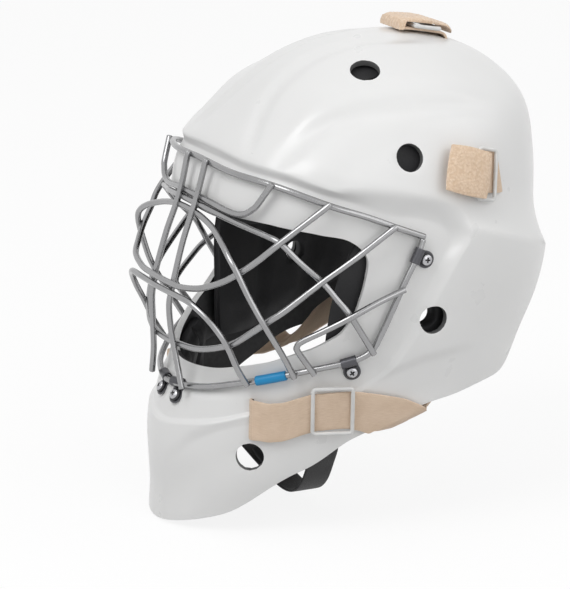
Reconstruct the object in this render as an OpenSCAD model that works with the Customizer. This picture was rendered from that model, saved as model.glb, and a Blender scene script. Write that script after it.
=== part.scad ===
// Goalie mask: moulded shell, welded wire cage, foam liner, elastic harness and back plate.
// Units are millimetres. Front is -Y, the wearer's left is +X, up is +Z.
// The origin is the middle of the line that joins the two ear holes.

/* [Shell] */
// Width of the shell at the ears
shell_w = 213; // [200:1:226]
// Front to back length scale of the shell, in percent
shell_l = 100; // [95:1:106]
// Height scale of the shell, in percent
shell_h = 100; // [95:1:106]
// Wall thickness of the shell
shell_t = 4.2; // [3:0.1:5]
// Depth of the recessed band over the eyes
recess = 4.5; // [3:0.1:6]
// Depth of the shallow seat of the cage at the sides and the chin
seat_in = 2.8; // [2.6:0.1:4]
// Height of the outward flare at the rear lower corners
flare = 9.5; // [3:0.5:12]
// Depth of the ledge that the chin makes under the cage
ledge = 3; // [1:0.1:5]
// Depth of the long channels on the forehead and crown
groove = 2.4; // [0.5:0.1:3.5]
// Height of the moulded ridge along each side
ridge = 2.2; // [0.5:0.1:3.5]
// Diameter of the ear holes
ear_d = 18; // [12:0.5:20]
// Diameter of the temple vents
temple_d = 18; // [12:0.5:20]
// Diameter of the top vents
top_d = 19; // [12:0.5:22]
// Diameter of the chin holes
chin_d = 18; // [12:0.5:20]

/* [Cage] */
// Diameter of the cage wire
wire_d = 4; // [3.4:0.1:4.6]
// Height of the frame wire above the shell's own surface
wire_up = 1; // [0.5:0.1:2]
// Depth that crossing wires sink into each other at a weld
weld = 0.5; // [0.2:0.1:0.8]
// Length of the plain sleeve on the lower frame wire
sleeve_l = 20; // [12:1:26]

/* [Clips] */
// Diameter of the clip screws
screw_d = 4; // [3:0.1:5]
// Diameter of the clip screw heads
head_d = 7; // [6.5:0.1:9]
// Width of each wire clip
clip_w = 11; // [8:0.5:13]
// Gap between the bend of each clip and the cup of its screw
cup_gap = 0.2; // [0.1:0.1:1]

/* [Straps] */
// Width of the elastic straps
strap_w = 25.4; // [20:0.1:28]
// Thickness of the elastic straps
strap_t = 1.6; // [1:0.1:2.2]
// Diameter of the wire in the strap sliders
slide_d = 2.6; // [2:0.1:3.2]
// Width of the chin sling
sling_w = 19; // [16:1:24]
// Thickness of the chin sling
sling_t = 1.6; // [1:0.1:2.2]
// Drop of the chin sling below its snaps
sling_drop = 42; // [38:1:50]
// Distance from the shell in to the chin sling
sling_in = 7.4; // [7:0.1:9]

/* [Liner] */
// Thickness of the liner pads
pad_t = 12; // [8:0.5:14]
// Gap between the liner pads and the shell
pad_gap = 1; // [0.8:0.1:1.4]

/* [Back plate] */
// Thickness of the back plate
plate_t = 3; // [2:0.1:4]
// Distance from the shell's own surface in to the back plate
plate_in = 9; // [8:0.5:11]

/* [Hidden] */
kx = shell_w / 213;
ky = shell_l / 100;
kz = shell_h / 100;
z_top = 164;
z_bot = -145;
pole_y = 14;
// Section sizes at nine equal steps from the crown down to the chin
half_w = [0, 31, 58, 87, 101, 106.5, 106, 94, 66];
front_l = [0, 37, 66, 90, 113, 119, 115, 136, 142];
back_l = [0, 42, 80, 105, 112, 112, 110, 95, 70];
front_n = [2.1, 2.1, 2.15, 2.3, 3, 2.6, 2.15, 2.05, 2.3];
steel = [0.72, 0.73, 0.75];
white = [0.9, 0.9, 0.89];
black = [0.08, 0.08, 0.09];
beige = [0.8, 0.69, 0.55];
dark = [0.22, 0.22, 0.24];

// Smooth curve through the list p at position x, counted in list steps
function ends(p, i) = i < 0 ? 2 * p[0] - p[1] : i >= len(p) ? 2 * p[len(p) - 1] - p[len(p) - 2] : p[i];
function blend4(a, b, c, d, f) = 0.5 * (2 * b + (c - a) * f + (2 * a - 5 * b + 4 * c - d) * f * f
    + (3 * b - 3 * c + d - a) * f * f * f);
function curve(p, x) = let (i = max(0, min(len(p) - 2, floor(x))))
    blend4(ends(p, i - 1), p[i], p[i + 1], ends(p, i + 2), x - i);
function ring_at(p, x) = let (n = len(p), i = floor(x), m = (i % n + n) % n)
    blend4(p[(m + n - 1) % n], p[m], p[(m + 1) % n], p[(m + 2) % n], x - i);
function dense(p, k) = [for (i = [0 : (len(p) - 1) * k]) curve(p, i / k)];
function unit(v) = v / max(norm(v), 0.000001);
function ease(a, b, x) = let (s = min(1, max(0, (x - a) / (b - a)))) s * s * (3 - 2 * s);
function bump(s) = abs(s) >= 1 ? 0 : pow(1 - s * s, 2);
function flip(p) = [-p[0], p[1], p[2]];
function both(p) = concat([for (i = [len(p) - 1 : -1 : 1]) flip(p[i])], p);

// Shell surface. A place on it is a flat map point q: its distance from the middle runs
// from 0 at the crown to 1 at the chin line, its angle is the angle round the head.
function polar(a, t) = [t * sin(a), -t * cos(a)];
function map_a(q) = atan2(q[0], -q[1]);
function skin(q) = let (t = max(norm(q), 0.004), a = map_a(q), x = t * 8, w = curve(half_w, x),
    f = cos(a) > 0, d = curve(f ? front_l : back_l, x), n = f ? curve(front_n, x) : 2.2,
    r = pow(pow(abs(sin(a)) / w, n) + pow(abs(cos(a)) / d, n), -1 / n) + ledge_of(abs(a), t))
    [kx * r * sin(a), ky * (pole_y * pow(1 - t, 2) - r * cos(a)), kz * (z_top - (z_top - z_bot) * t * t)];
function ledge_of(a, t) = ledge * ease(0.82, 0.84, t) * (1 - ease(0.9, 0.97, t)) * (1 - ease(14, 32, a));
function out_of(q) = let (e = 0.006, u = skin(q + [e, 0]) - skin(q - [e, 0]),
    v = skin(q + [0, e]) - skin(q - [0, e])) unit(cross(u, v));

// Moulded relief of the shell, outward positive
crease_t = [[40, 0.492], [149, 0.666], [180, 0.7]];
ridge_t = [[20, 0.41], [24, 0.388], [33, 0.35], [44, 0.315], [64, 0.285], [91, 0.281], [115, 0.296],
    [140, 0.34]];
valley_t = [[30, 0.47], [38.7, 0.42], [44, 0.387], [51, 0.356], [64, 0.337], [88, 0.331], [109, 0.339],
    [135, 0.37]];
jaw_t = [[0, 0.94], [9, 0.903], [14, 0.882], [22, 0.864], [30, 0.853], [45, 0.835], [66, 0.807], [86, 0.781],
    [110, 0.77]];
ridge_x = [[-95, 30], [-80, 16], [-66, 10], [-42, 7], [0, 9], [40, 12]];
function flare_of(a, t, tc) = let (s = max(0, min(1, (t - tc + 0.095) / 0.095)))
    (1.2 * ease(36, 60, a) + flare * ease(70, 138, a)) * s * s * (1 - 0.8 * ease(0, 0.16, t - tc));
function groove_of(x, y, t) = -groove * bump((x - lookup(y, ridge_x) - 10) / 10)
    * ease(-102, -86, y) * (1 - ease(10, 50, y)) * ease(0.47, 0.42, t);
function ridge_of(a, u) = ridge * (bump((u - 0.25) / 0.9) - 0.7 * bump((u - 1.05) / 0.55))
    * ease(30, 42, a) * (1 - ease(105, 130, a));
function panel_of(a, t, u, tc) = 1.3 * ease(1.2, 1.9, u) * ease(34, 46, a) * (1 - ease(100, 130, a))
    * (1 - ease(tc - 0.05, tc - 0.01, t));
function jaw_of(a, t) = let (tj = lookup(a, jaw_t)) -2 * ease(tj - 0.006, tj + 0.012, t) * ease(4, 14, a)
    * (1 - ease(95, 112, a)) * (1 - ease(tj + 0.04, tj + 0.09, t));
function relief(q) = let (t = norm(q), a = abs(map_a(q)), p = skin(q), tc = lookup(a, crease_t),
    tr = lookup(a, ridge_t), u = (t - tr) / max(0.02, lookup(a, valley_t) - tr))
    flare_of(a, t, tc) + groove_of(abs(p[0]) / kx, p[1] / ky, t) + ridge_of(a, u) + panel_of(a, t, u, tc)
    + jaw_of(a, t);
function on(q, h) = skin(q) + out_of(q) * (relief(q) + h);
function at(a, t, h) = on(polar(a, t), h);
function under(q, h) = skin(q) + out_of(q) * (min(0, relief(q)) - h);

// Loops on the map: face opening, edge of the recess, outer edge. Left half, top to bottom.
win_h = [[0, 0.57], [20, 0.567], [38, 0.572], [51, 0.584], [61, 0.597], [66.5, 0.625], [66.3, 0.658],
    [64.5, 0.692], [62, 0.72], [56.5, 0.748], [46, 0.769], [32, 0.788], [16, 0.802], [0, 0.806]];
rec_h = [[0, 0.468], [20, 0.472], [38, 0.482], [55, 0.514], [73, 0.556], [95, 0.598], [91, 0.655],
    [84, 0.71], [79, 0.757], [70, 0.803], [56, 0.827], [37, 0.839], [19, 0.86], [0, 0.872]];
out_h = [[180, 0.49], [170, 0.495], [161, 0.512], [153, 0.545], [147, 0.595], [141, 0.655], [135, 0.745],
    [124, 0.822], [102, 0.838], [80, 0.858], [62, 0.8835], [44, 0.9215], [22, 0.972], [0, 0.991]];
function loop_of(h) = let (n = len(h) - 1) concat([for (i = [0 : n]) polar(h[i][0], h[i][1])],
    [for (i = [n - 1 : -1 : 1]) polar(-h[i][0], h[i][1])]);
win_q = loop_of(win_h);
rec_q = loop_of(rec_h);
out_q = loop_of(out_h);
n_sub = 3;
n_round = len(win_q) * n_sub;
rows_rec = [0, 0.4, 0.55, 0.75, 1];
n_rec = len(rows_rec);
rows_out = [0.018, for (i = [1 : 13]) 0.018 + 0.982 * i / 13];
n_rows = n_rec + len(rows_out);
function row_q(i, j) = let (x = i / n_sub, w = ring_at(win_q, x), r = ring_at(rec_q, x),
    o = ring_at(out_q, x)) j < n_rec ? w + (r - w) * rows_rec[j] : r + (o - r) * rows_out[j - n_rec];
// Depth of the seat of the cage along the loop, and how fast it runs out past its edge
depth_x = [[3.4, recess], [5.2, seat_in]];
fade_x = [[3, 0.018], [4.6, 0.16], [9, 0.16], [11, 0.07]];
function row_h(i, j) = let (x0 = i / n_sub, x = min(x0, len(win_q) - x0), depth = lookup(x, depth_x),
    rise = j < n_rec ? 0 : ease(0, lookup(x, fade_x), rows_out[j - n_rec]))
    (rise - 1) * (depth + relief(row_q(i, j)));
function quad(a, b, c, d) = [[a, c, b], [a, d, c]];

// Closed sheet of nu by nv cells that runs round in u; the second point list is the inner face
module ring_sheet(outer, inner, nu, nv) {
    n = nu * (nv + 1);
    f_out = [for (j = [0 : nv - 1]) for (i = [0 : nu - 1]) each
        quad(j * nu + i, j * nu + (i + 1) % nu, (j + 1) * nu + (i + 1) % nu, (j + 1) * nu + i)];
    f_in = [for (f = f_out) [n + f[0], n + f[2], n + f[1]]];
    f_a = [for (i = [0 : nu - 1]) each quad(i, n + i, n + (i + 1) % nu, (i + 1) % nu)];
    f_b = [for (i = [0 : nu - 1]) each
        quad(nv * nu + i, nv * nu + (i + 1) % nu, n + nv * nu + (i + 1) % nu, n + nv * nu + i)];
    polyhedron(concat(outer, inner), concat(f_out, f_in, f_a, f_b), convexity = 8);
}

// Closed slab of na by nb cells; the second point list is its inner face
module slab(outer, inner, na, nb) {
    m = na + 1;
    n = m * (nb + 1);
    f_out = [for (j = [0 : nb - 1]) for (i = [0 : na - 1]) each
        quad(j * m + i, (j + 1) * m + i, (j + 1) * m + i + 1, j * m + i + 1)];
    f_in = [for (f = f_out) [n + f[0], n + f[2], n + f[1]]];
    edge = concat([for (i = [0 : na - 1]) i], [for (j = [0 : nb - 1]) j * m + na],
        [for (i = [na : -1 : 1]) nb * m + i], [for (j = [nb : -1 : 1]) j * m]);
    ne = len(edge);
    f_rim = [for (k = [0 : ne - 1]) let (a = edge[k], b = edge[(k + 1) % ne]) each quad(a, b, n + b, n + a)];
    polyhedron(concat(outer, inner), concat(f_out, f_in, f_rim), convexity = 6);
}

// Round bar of diameter d along the points p
module tube(p, d, sides = 6) {
    n = len(p);
    dir = [for (i = [0 : n - 1]) unit(p[min(n - 1, i + 1)] - p[max(0, i - 1)])];
    ref = unit(cross(dir[0], abs(dir[0][2]) > 0.8 ? [0, 1, 0] : [0, 0, 1]));
    side = carry(dir, ref, 0, []);
    r = d / 2 / sqrt(cos(180 / sides));
    pts = [for (i = [0 : n - 1]) for (k = [0 : sides - 1])
        p[i] + r * (cos(k * 360 / sides) * side[i] + sin(k * 360 / sides) * cross(dir[i], side[i]))];
    caps = [[for (k = [0 : sides - 1]) k], [for (k = [sides - 1 : -1 : 0]) (n - 1) * sides + k]];
    walls = [for (i = [0 : n - 2]) for (k = [0 : sides - 1])
        let (a = i * sides, b = a + sides, m = (k + 1) % sides) each quad(a + k, a + m, b + m, b + k)];
    polyhedron(pts, concat(caps, walls), convexity = 6);
}
function carry(dir, s, i, acc) = i >= len(dir) ? acc :
    let (v = unit(s - dir[i] * (s * dir[i]))) carry(dir, v, i + 1, concat(acc, [v]));

// Closed round wire loop with rounded corners, in the XY plane of frame f
module wire_loop(f, w, h, d, lift = 0) {
    r = 2.2;
    x = w / 2 - r;
    y = h / 2 - r;
    c = [[x, y, 0], [-x, y, 90], [-x, -y, 180], [x, -y, 270]];
    flat = [for (k = c) for (g = [0, 45, 90]) [k[0] + r * cos(k[2] + g), k[1] + r * sin(k[2] + g)]];
    n = len(flat);
    sides = 6;
    pts = [for (i = [0 : n - 1]) let (v = unit(flat[(i + 1) % n] - flat[(i + n - 1) % n]), s = [v[1], -v[0]])
        for (k = [0 : sides - 1]) let (p = flat[i] + s * cos(k * 60) * d / 2)
        place(f, [p[0], p[1], lift + sin(k * 60) * d / 2])];
    faces = [for (i = [0 : n - 1]) for (k = [0 : sides - 1]) let (a = i * sides, b = ((i + 1) % n) * sides,
        m = (k + 1) % sides) each quad(a + k, b + k, b + m, a + m)];
    polyhedron(pts, faces, convexity = 6);
}

// Flat band between two rails, thickness t laid outward from the rails
module band(a, b, t) {
    n = len(a);
    m = n - 1;
    mid = (a + b) / 2;
    lift = [for (i = [0 : m]) t * unit(cross(mid[min(m, i + 1)] - mid[max(0, i - 1)], a[i] - b[i]))];
    top = [for (i = [0 : m - 1]) each quad(i, n + i, n + i + 1, i + 1)];
    low = [for (i = [0 : m - 1]) each quad(2 * n + i, 2 * n + i + 1, 3 * n + i + 1, 3 * n + i)];
    side_a = [for (i = [0 : m - 1]) each quad(i, i + 1, 2 * n + i + 1, 2 * n + i)];
    side_b = [for (i = [0 : m - 1]) each quad(n + i, 3 * n + i, 3 * n + i + 1, n + i + 1)];
    caps = concat(quad(0, 2 * n, 3 * n, n), quad(m, n + m, 3 * n + m, 2 * n + m));
    polyhedron(concat(a + lift, b + lift, a, b), concat(top, low, side_a, side_b, caps), convexity = 6);
}

// Frames: a list of origin, x, y and z directions
function place(f, v) = f[0] + f[1] * v[0] + f[2] * v[1] + f[3] * v[2];
function face_frame(a, t, h = 0, turn = 0) = let (q = polar(a, t), z = out_of(q),
    x0 = unit(cross([0, 0, 1], z)), y0 = cross(z, x0), x = x0 * cos(turn) + y0 * sin(turn))
    [on(q, h), x, cross(z, x), z];
module in_frame(f) {
    multmatrix([[f[1][0], f[2][0], f[3][0], f[0][0]], [f[1][1], f[2][1], f[3][1], f[0][1]],
        [f[1][2], f[2][2], f[3][2], f[0][2]], [0, 0, 0, 1]]) children();
}
module pair() {
    children();
    mirror([1, 0, 0]) children();
}

// Cage wires. The points are wire centres in millimetres for the standard shell size.
function sized(p) = [for (v = p) [v[0] * kx, v[1] * ky, v[2] * kz]];
function on_frame(p) = [for (v = p) lift_end(polar(v[0], v[1]), 0)];
function lift_end(q, h) = skin(q) + out_of(q) * (wire_up + h);
top_at = [[0, 0.483], [20, 0.487], [38, 0.497], [54, 0.529], [65, 0.552], [75, 0.575], [85.6, 0.597]];
side_at = [[85, 0.6005], [83, 0.627], [78.2, 0.671], [74.7, 0.707], [71.4, 0.74], [68, 0.765], [61.4, 0.778],
    [48.7, 0.79], [37, 0.803], [27.7, 0.813], [14.5, 0.827], [0, 0.833]];
side_half = on_frame(side_at);
touch = wire_d - weld;
bar_end_top = lift_end(polar(6.8, 0.4815), touch);
bar_end_low = lift_end(polar(9.6, 0.836), touch);
loop_end = lift_end(polar(37.3, 0.4945), touch);
eye_end = lift_end(polar(68.8, 0.766), touch);
inner_end = lift_end(polar(44, 0.799), touch);
upper_end = lift_end(polar(54.1, 0.5255), touch);
lower_end = lift_end(polar(74.6, 0.5715), touch);
nose_end = lift_end(polar(29.8, 0.815), touch);
cheek_ends = [lift_end(polar(78, 0.675), touch), lift_end(polar(50, 0.793), touch)];
bar_mm = [[12, -117.6, 68.2], [12.7, -126.5, 44.3], [13.6, -133.6, 20], [13.3, -135, 13], [13, -136.8, 3.3],
    [14, -136, -12.9], [17.5, -134, -31.9]];
loop_mm = [[0, -114.3, 70.6], [12, -114, 70.5], [27, -112.4, 69.3], [40.3, -110.4, 67.8], [51, -108.2, 67.3],
    [59.7, -106.1, 69.2], [65, -104, 72.5], [68.9, -101.9, 76.7]];
eye_mm = [[0, -116, 66.2], [13.1, -115.6, 66.1], [30, -113.2, 64.6], [45, -109.9, 62.8], [61.5, -104, 60],
    [75, -99.5, 58], [85.3, -94.3, 54.6], [91, -84, 43], [93.8, -70.3, 29.8], [98.5, -62, 18.5],
    [102.9, -55.1, 8.2]];
inner_mm = [[0, -118, 61.6], [12, -118, 61.3], [26, -118, 59.6], [40.5, -118.4, 56.4], [57, -120.4, 51],
    [68, -120.8, 44.5], [74.2, -118.6, 36.6], [79, -112.8, 21.1], [83.7, -105, 4.1], [84.6, -92.5, -17.2]];
upper_mm = [[0, -137.6, 18.4], [13.9, -137.3, 18.5], [30, -135.9, 18.8], [48.8, -131.9, 22.2],
    [62.1, -123.9, 28], [71.4, -116.2, 35.2], [79, -107.5, 43.5], [87.7, -96.5, 55.4]];
lower_mm = [[0, -132.2, -22.5], [15.4, -131.8, -21.8], [37.8, -127, -20.4], [61, -117.6, -13],
    [75.4, -108.6, -2], [81.2, -102.5, 4.3], [88, -93, 12.5], [97.2, -72.1, 30.3], [104.5, -51, 46]];
nose_mm = [[0, -138.8, 13], [13.3, -138.4, 13], [30, -138.2, 13.2], [44, -136.6, 12.2], [55.5, -131.4, 5.4],
    [61.8, -125.5, -4], [63.3, -120.2, -13.4], [63, -113.5, -28]];
cheek_mm = [[109, -38, 17], [106, -56.8, 8.2], [98.6, -71.5, -0.4], [91.5, -82.5, -7.2], [89.6, -85.2, -10.6],
    [89.4, -84.2, -14.6]];
bar_path = concat([bar_end_top], sized(bar_mm), [bar_end_low]);
cheek_path = concat([cheek_ends[0]], sized(cheek_mm), [cheek_ends[1]]);

// A symmetric wire from its middle points and its end on the left side
module bent_wire(mid, end) {
    color(steel) tube(dense(both(concat(sized(mid), [end])), 2), wire_d);
}
module frame_wire_top() {
    color(steel) tube(dense(both(on_frame(top_at)), 2), wire_d);
}
side_path = concat(side_half, [for (i = [len(side_half) - 2 : -1 : 0]) flip(side_half[i])]);
module frame_wire_side() {
    color(steel) tube(dense(side_path, 2), wire_d);
}
module center_bar_left() {
    color(steel) tube(dense(bar_path, 3), wire_d);
}
module center_bar_right() {
    mirror([1, 0, 0]) center_bar_left();
}
module brow_loop() {
    bent_wire(loop_mm, loop_end);
}
module eye_arch() {
    bent_wire(eye_mm, eye_end);
}
module inner_arch() {
    bent_wire(inner_mm, inner_end);
}
module cross_wire_upper() {
    bent_wire(upper_mm, upper_end);
}
module cross_wire_lower() {
    bent_wire(lower_mm, lower_end);
}
module cheek_wire_left() {
    color(steel) tube(dense(cheek_path, 3), wire_d);
}
module cheek_wire_right() {
    mirror([1, 0, 0]) cheek_wire_left();
}
module nose_arch() {
    bent_wire(nose_mm, nose_end);
}

// Plain sleeve that is shrunk on the lower frame wire
sleeve_at = 8.1;
sleeve_wall = 1.1;
module wire_sleeve() {
    step = sleeve_l / norm(curve(side_half, sleeve_at + 0.5) - curve(side_half, sleeve_at - 0.5));
    way = [for (k = [-2 : 2]) curve(side_half, sleeve_at - k * step / 4)];
    hole = [for (k = [-3 : 3]) curve(side_half, sleeve_at - k * step / 4)];
    color([0.05, 0.5, 0.75]) difference() {
        tube(way, wire_d + 2 * sleeve_wall, 8);
        tube(hole, wire_d + 0.1, 8);
    }
}

// Clips, by their places along the side wire. The screw is on the outer side of the wire.
clip_at = [1.0, 6.05, 10.72];
side_q = [for (v = side_at) polar(v[0], v[1])];
function clip_frame(c) = let (p = curve(side_half, c), z0 = out_of(curve(side_q, c) * 1.0095),
    d = unit(curve(side_half, c - 0.05) - curve(side_half, c + 0.05)), z = unit(z0 - d * (z0 * d)),
    x = cross(d, z)) [p, x, cross(z, x), z];
floor_z = -wire_up - seat_in;
clip_t = 0.9;
clip_r = wire_d / 2 + 0.3;
seat = 0.3;
washer_z = floor_z + seat + clip_t + 0.1;
washer_d = head_d + 1.8;
screw_x = clip_r + clip_t + cup_gap + washer_d / 2;
head_z = washer_z + 0.75;
hole_slack = 0.4;
module clip_one(f) {
    in_frame(f) difference() {
        union() {
            rotate([90, 0, 0]) cylinder(h = clip_w, r = clip_r + clip_t, center = true, $fn = 20);
            translate([0, -clip_w / 2, floor_z + seat])
                cube([screw_x - washer_d / 2 - 0.3, clip_w, -floor_z - 1.2]);
            translate([0, -clip_w / 2, floor_z + seat]) cube([screw_x, clip_w, clip_t]);
            translate([screw_x, 0, floor_z + seat]) cylinder(h = clip_t, r = clip_w / 2, $fn = 24);
        }
        rotate([90, 0, 0]) cylinder(h = clip_w + 2, r = clip_r, center = true, $fn = 20);
        translate([screw_x, 0, floor_z - 1]) cylinder(h = 6, d = screw_d + hole_slack, $fn = 20);
    }
}
module washer_one(f) {
    in_frame(f) translate([screw_x, 0, washer_z]) difference() {
        cylinder(h = 1.4, d = washer_d, $fn = 24);
        translate([0, 0, -1]) cylinder(h = 4, d = screw_d + hole_slack, $fn = 20);
        translate([0, 0, 0.7]) cylinder(h = 4, d = head_d + 0.3, $fn = 24);
    }
}
nut_h = 2.2;
nut_d = 9;
module screw_one(f) {
    shank = head_z - floor_z + shell_t + nut_h + 1.2;
    in_frame(f) translate([screw_x, 0, head_z]) difference() {
        union() {
            translate([0, 0, -shank]) cylinder(h = shank + 0.5, d = screw_d, $fn = 16);
            cylinder(h = 1, d = head_d, $fn = 24);
            translate([0, 0, 1]) cylinder(h = 1.3, d1 = head_d, d2 = head_d * 0.55, $fn = 24);
        }
        for (turn = [0, 90]) rotate(turn) translate([-2.1, -0.5, 1.1]) cube([4.2, 1, 3]);
    }
}
module nut_one(f) {
    in_frame(f) translate([screw_x, 0, floor_z - shell_t - 2 * seat]) difference() {
        union() {
            translate([0, 0, -0.8]) cylinder(h = 0.8, d = nut_d, $fn = 24);
            translate([0, 0, -nut_h]) cylinder(h = nut_h - 0.4, d = 7, $fn = 6);
        }
        translate([0, 0, -4]) cylinder(h = 8, d = screw_d + 0.1, $fn = 16);
    }
}
// Flat seats that a clip and its nut need in the shell
module clip_seat(f) {
    in_frame(f) {
        translate([-clip_r - clip_t, -clip_w / 2 - seat, floor_z + seat / 2])
            cube([screw_x + clip_r + clip_t, clip_w + 2 * seat, 12]);
        translate([screw_x, 0, floor_z + seat / 2]) cylinder(h = 12, r = clip_w / 2 + seat, $fn = 24);
        translate([screw_x, 0, floor_z - shell_t - seat - 8]) cylinder(h = 8, d = nut_d + 1, $fn = 24);
        translate([screw_x, 0, -20]) cylinder(h = 20, d = screw_d + 0.5, $fn = 20);
    }
}
module nut_room(f) {
    in_frame(f) translate([screw_x, 0, floor_z - shell_t - nut_h - 1.6])
        cylinder(h = 12, d = nut_d + 2, $fn = 20);
}
module clips() {
    color(dark) for (c = clip_at) pair() clip_one(clip_frame(c));
}
module clip_washers() {
    color(black) for (c = clip_at) pair() washer_one(clip_frame(c));
}
module clip_screws() {
    color(steel) for (c = clip_at) pair() screw_one(clip_frame(c));
}
module clip_nuts() {
    color(steel) for (c = clip_at) pair() nut_one(clip_frame(c));
}

// Holes and slots through the shell, as angle and map distance
top_vent = [61.8, 0.22];
temple_vent = [80.6, 0.447];
ear_hole = [90, 0.7285];
chin_hole = [30.1, 0.904];
temple_slot = [117.5, 0.5];
cheek_slot = [30.8, 0.857];
temple_slot_f = face_frame(temple_slot[0], temple_slot[1]);
cheek_slot_f = face_frame(cheek_slot[0], cheek_slot[1]);
top_slot_y = 60;
slot_w = 3.6;
slot_h = strap_w + 3;
snap_y = -57;
snap_z = -80;
function at_y(y, a, lo, hi, n) = let (m = (lo + hi) / 2) n == 0 ? m
    : skin(polar(a, m))[1] < y ? at_y(y, a, m, hi, n - 1) : at_y(y, a, lo, m, n - 1);
function snap_turn(lo, hi, n) = let (m = (lo + hi) / 2) n == 0 ? m
    : skin(polar(m, snap_t))[1] > snap_y * ky ? snap_turn(lo, m, n - 1) : snap_turn(m, hi, n - 1);
top_slot_t = at_y(top_slot_y * ky, 180, 0.01, 0.45, 18);
snap_t = sqrt((z_top - snap_z) / (z_top - z_bot));
snap_a = snap_turn(20, 90, 18);
ear_p = skin(polar(ear_hole[0], ear_hole[1]));
module hole_at(p, d) {
    in_frame(face_frame(p[0], p[1])) cylinder(h = 34, d = d, center = true, $fn = 36);
}
module slot_at(f) {
    in_frame(f) cube([slot_w, slot_h, 30], center = true);
}
module ear_bore(d) {
    translate([0, ear_p[1], ear_p[2]]) rotate([0, 90, 0]) cylinder(h = 300, d = d, center = true, $fn = 36);
}
module shell() {
    cells = [for (j = [0 : n_rows - 1]) for (i = [0 : n_round - 1]) [row_q(i, j), row_h(i, j)]];
    outer = [for (c = cells) on(c[0], c[1])];
    inner = [for (c = cells) on(c[0], c[1] - shell_t)];
    color(white) difference() {
        ring_sheet(outer, inner, n_round, n_rows - 1);
        pair() {
            hole_at(top_vent, top_d);
            hole_at(temple_vent, temple_d);
            hole_at(chin_hole, chin_d);
            slot_at(temple_slot_f);
            slot_at(cheek_slot_f);
            for (c = clip_at) clip_seat(clip_frame(c));
        }
        ear_bore(ear_d);
        in_frame(face_frame(180, top_slot_t)) cube([slot_h, slot_w, 30], center = true);
    }
}

// Liner pads: rounded patches of the shell's inner side, crowned, with thin sides and channels
function grid(na, nb) = [for (j = [0 : nb]) for (i = [0 : na]) [2 * i / na - 1, 2 * j / nb - 1]];
function round_ab(g, k) = [g[0] * sqrt(1 - k * g[1] * g[1]), g[1] * sqrt(1 - k * g[0] * g[0])];
function pad_q(c, g) = let (r = round_ab(g, 0.28), u = (r[0] + 1) / 2, v = (r[1] + 1) / 2,
    p = (c[0] * (1 - u) + c[1] * u) * (1 - v) + (c[3] * (1 - u) + c[2] * u) * v)
    c[4] == "flat" ? p : polar(p[0], p[1]);
function pad_k(g, lines) = (0.42 + 0.58 * (1 - pow(g[0], 6)) * (1 - pow(g[1], 6)))
    * (1 - 0.3 * max([for (k = lines) bump((g[0] - k) / 0.15)])) * (1 - 0.06 * (g * g));
module pad(c, depth, na, nb, lines = [-0.35, 0.35]) {
    cells = grid(na, nb);
    outer = [for (g = cells) under(pad_q(c, g), depth)];
    inner = [for (g = cells) under(pad_q(c, g), depth + pad_t * pad_k(g, lines))];
    color(black) slab(outer, inner, na, nb);
}
in_flat = shell_t + pad_gap;
in_deep = in_flat + recess;
in_seat = in_flat + seat_in;
brow_c = [[-46, 0.4], [46, 0.4], [46, 0.585], [-46, 0.585]];
crown_c = [[-0.21, 0.1], [0.21, 0.1], [0.21, -0.21], [-0.21, -0.21], "flat"];
temple_c = [[52, 0.36], [109, 0.36], [110, 0.495], [62, 0.475]];
cheek_c = [[64, 0.55], [131, 0.55], [118, 0.79], [46, 0.86]];
jaw_c = [[9, 0.815], [44, 0.786], [40, 0.868], [9, 0.884]];
ear_room = 4;
module brow_pad() {
    pad(brow_c, in_deep, 20, 8, [-0.4, 0.4]);
}
module crown_pad() {
    pad(crown_c, in_flat + groove / 2, 12, 10);
}
module temple_pad_left() {
    pad(temple_c, in_flat + 0.1, 14, 8);
}
module temple_pad_right() {
    mirror([1, 0, 0]) temple_pad_left();
}
module cheek_pad_left() {
    difference() {
        pad(cheek_c, in_seat + 1, 14, 12);
        ear_bore(ear_d + ear_room);
        for (i = [0, 1]) nut_room(clip_frame(clip_at[i]));
    }
}
module cheek_pad_right() {
    mirror([1, 0, 0]) cheek_pad_left();
}
module jaw_pad_left() {
    difference() {
        pad(jaw_c, in_seat, 14, 6);
        in_frame(cheek_slot_f) translate([0, 0, through + 4])
            cube([slot_w + 2, slot_h, 11], center = true);
    }
}
module jaw_pad_right() {
    mirror([1, 0, 0]) jaw_pad_left();
}

// Back plate and its pad
plate_half = 31;
plate_mid = 0.684;
plate_high = 0.141;
function plate_q(a, b) = polar(180 - plate_half * (1 - 0.16 * b * b) * a,
    plate_mid + plate_high * b * (1 - 0.1 * a * a));
function back_at(a, b, h) = let (q = plate_q(a, b)) skin(q) - out_of(q) * (plate_in + h);
module back_plate() {
    cells = [for (g = grid(16, 12)) round_ab(g, 0.2)];
    outer = [for (g = cells) back_at(g[0], g[1], -0.8 * bump(g[0] / 0.3) * (1 - g[1] * g[1]))];
    inner = [for (g = cells) back_at(g[0], g[1], plate_t)];
    color(white) slab(inner, outer, 16, 12);
}
module back_pad() {
    cells = grid(12, 10);
    low = plate_t + 0.3;
    outer = [for (g = cells) let (r = 0.86 * round_ab(g, 0.28)) back_at(r[0], r[1], low)];
    inner = [for (g = cells) let (r = 0.86 * round_ab(g, 0.28))
        back_at(r[0], r[1], low + (pad_t - 2) * pad_k(g, [-0.35, 0.35]))];
    color(black) slab(inner, outer, 12, 10);
}

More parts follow.
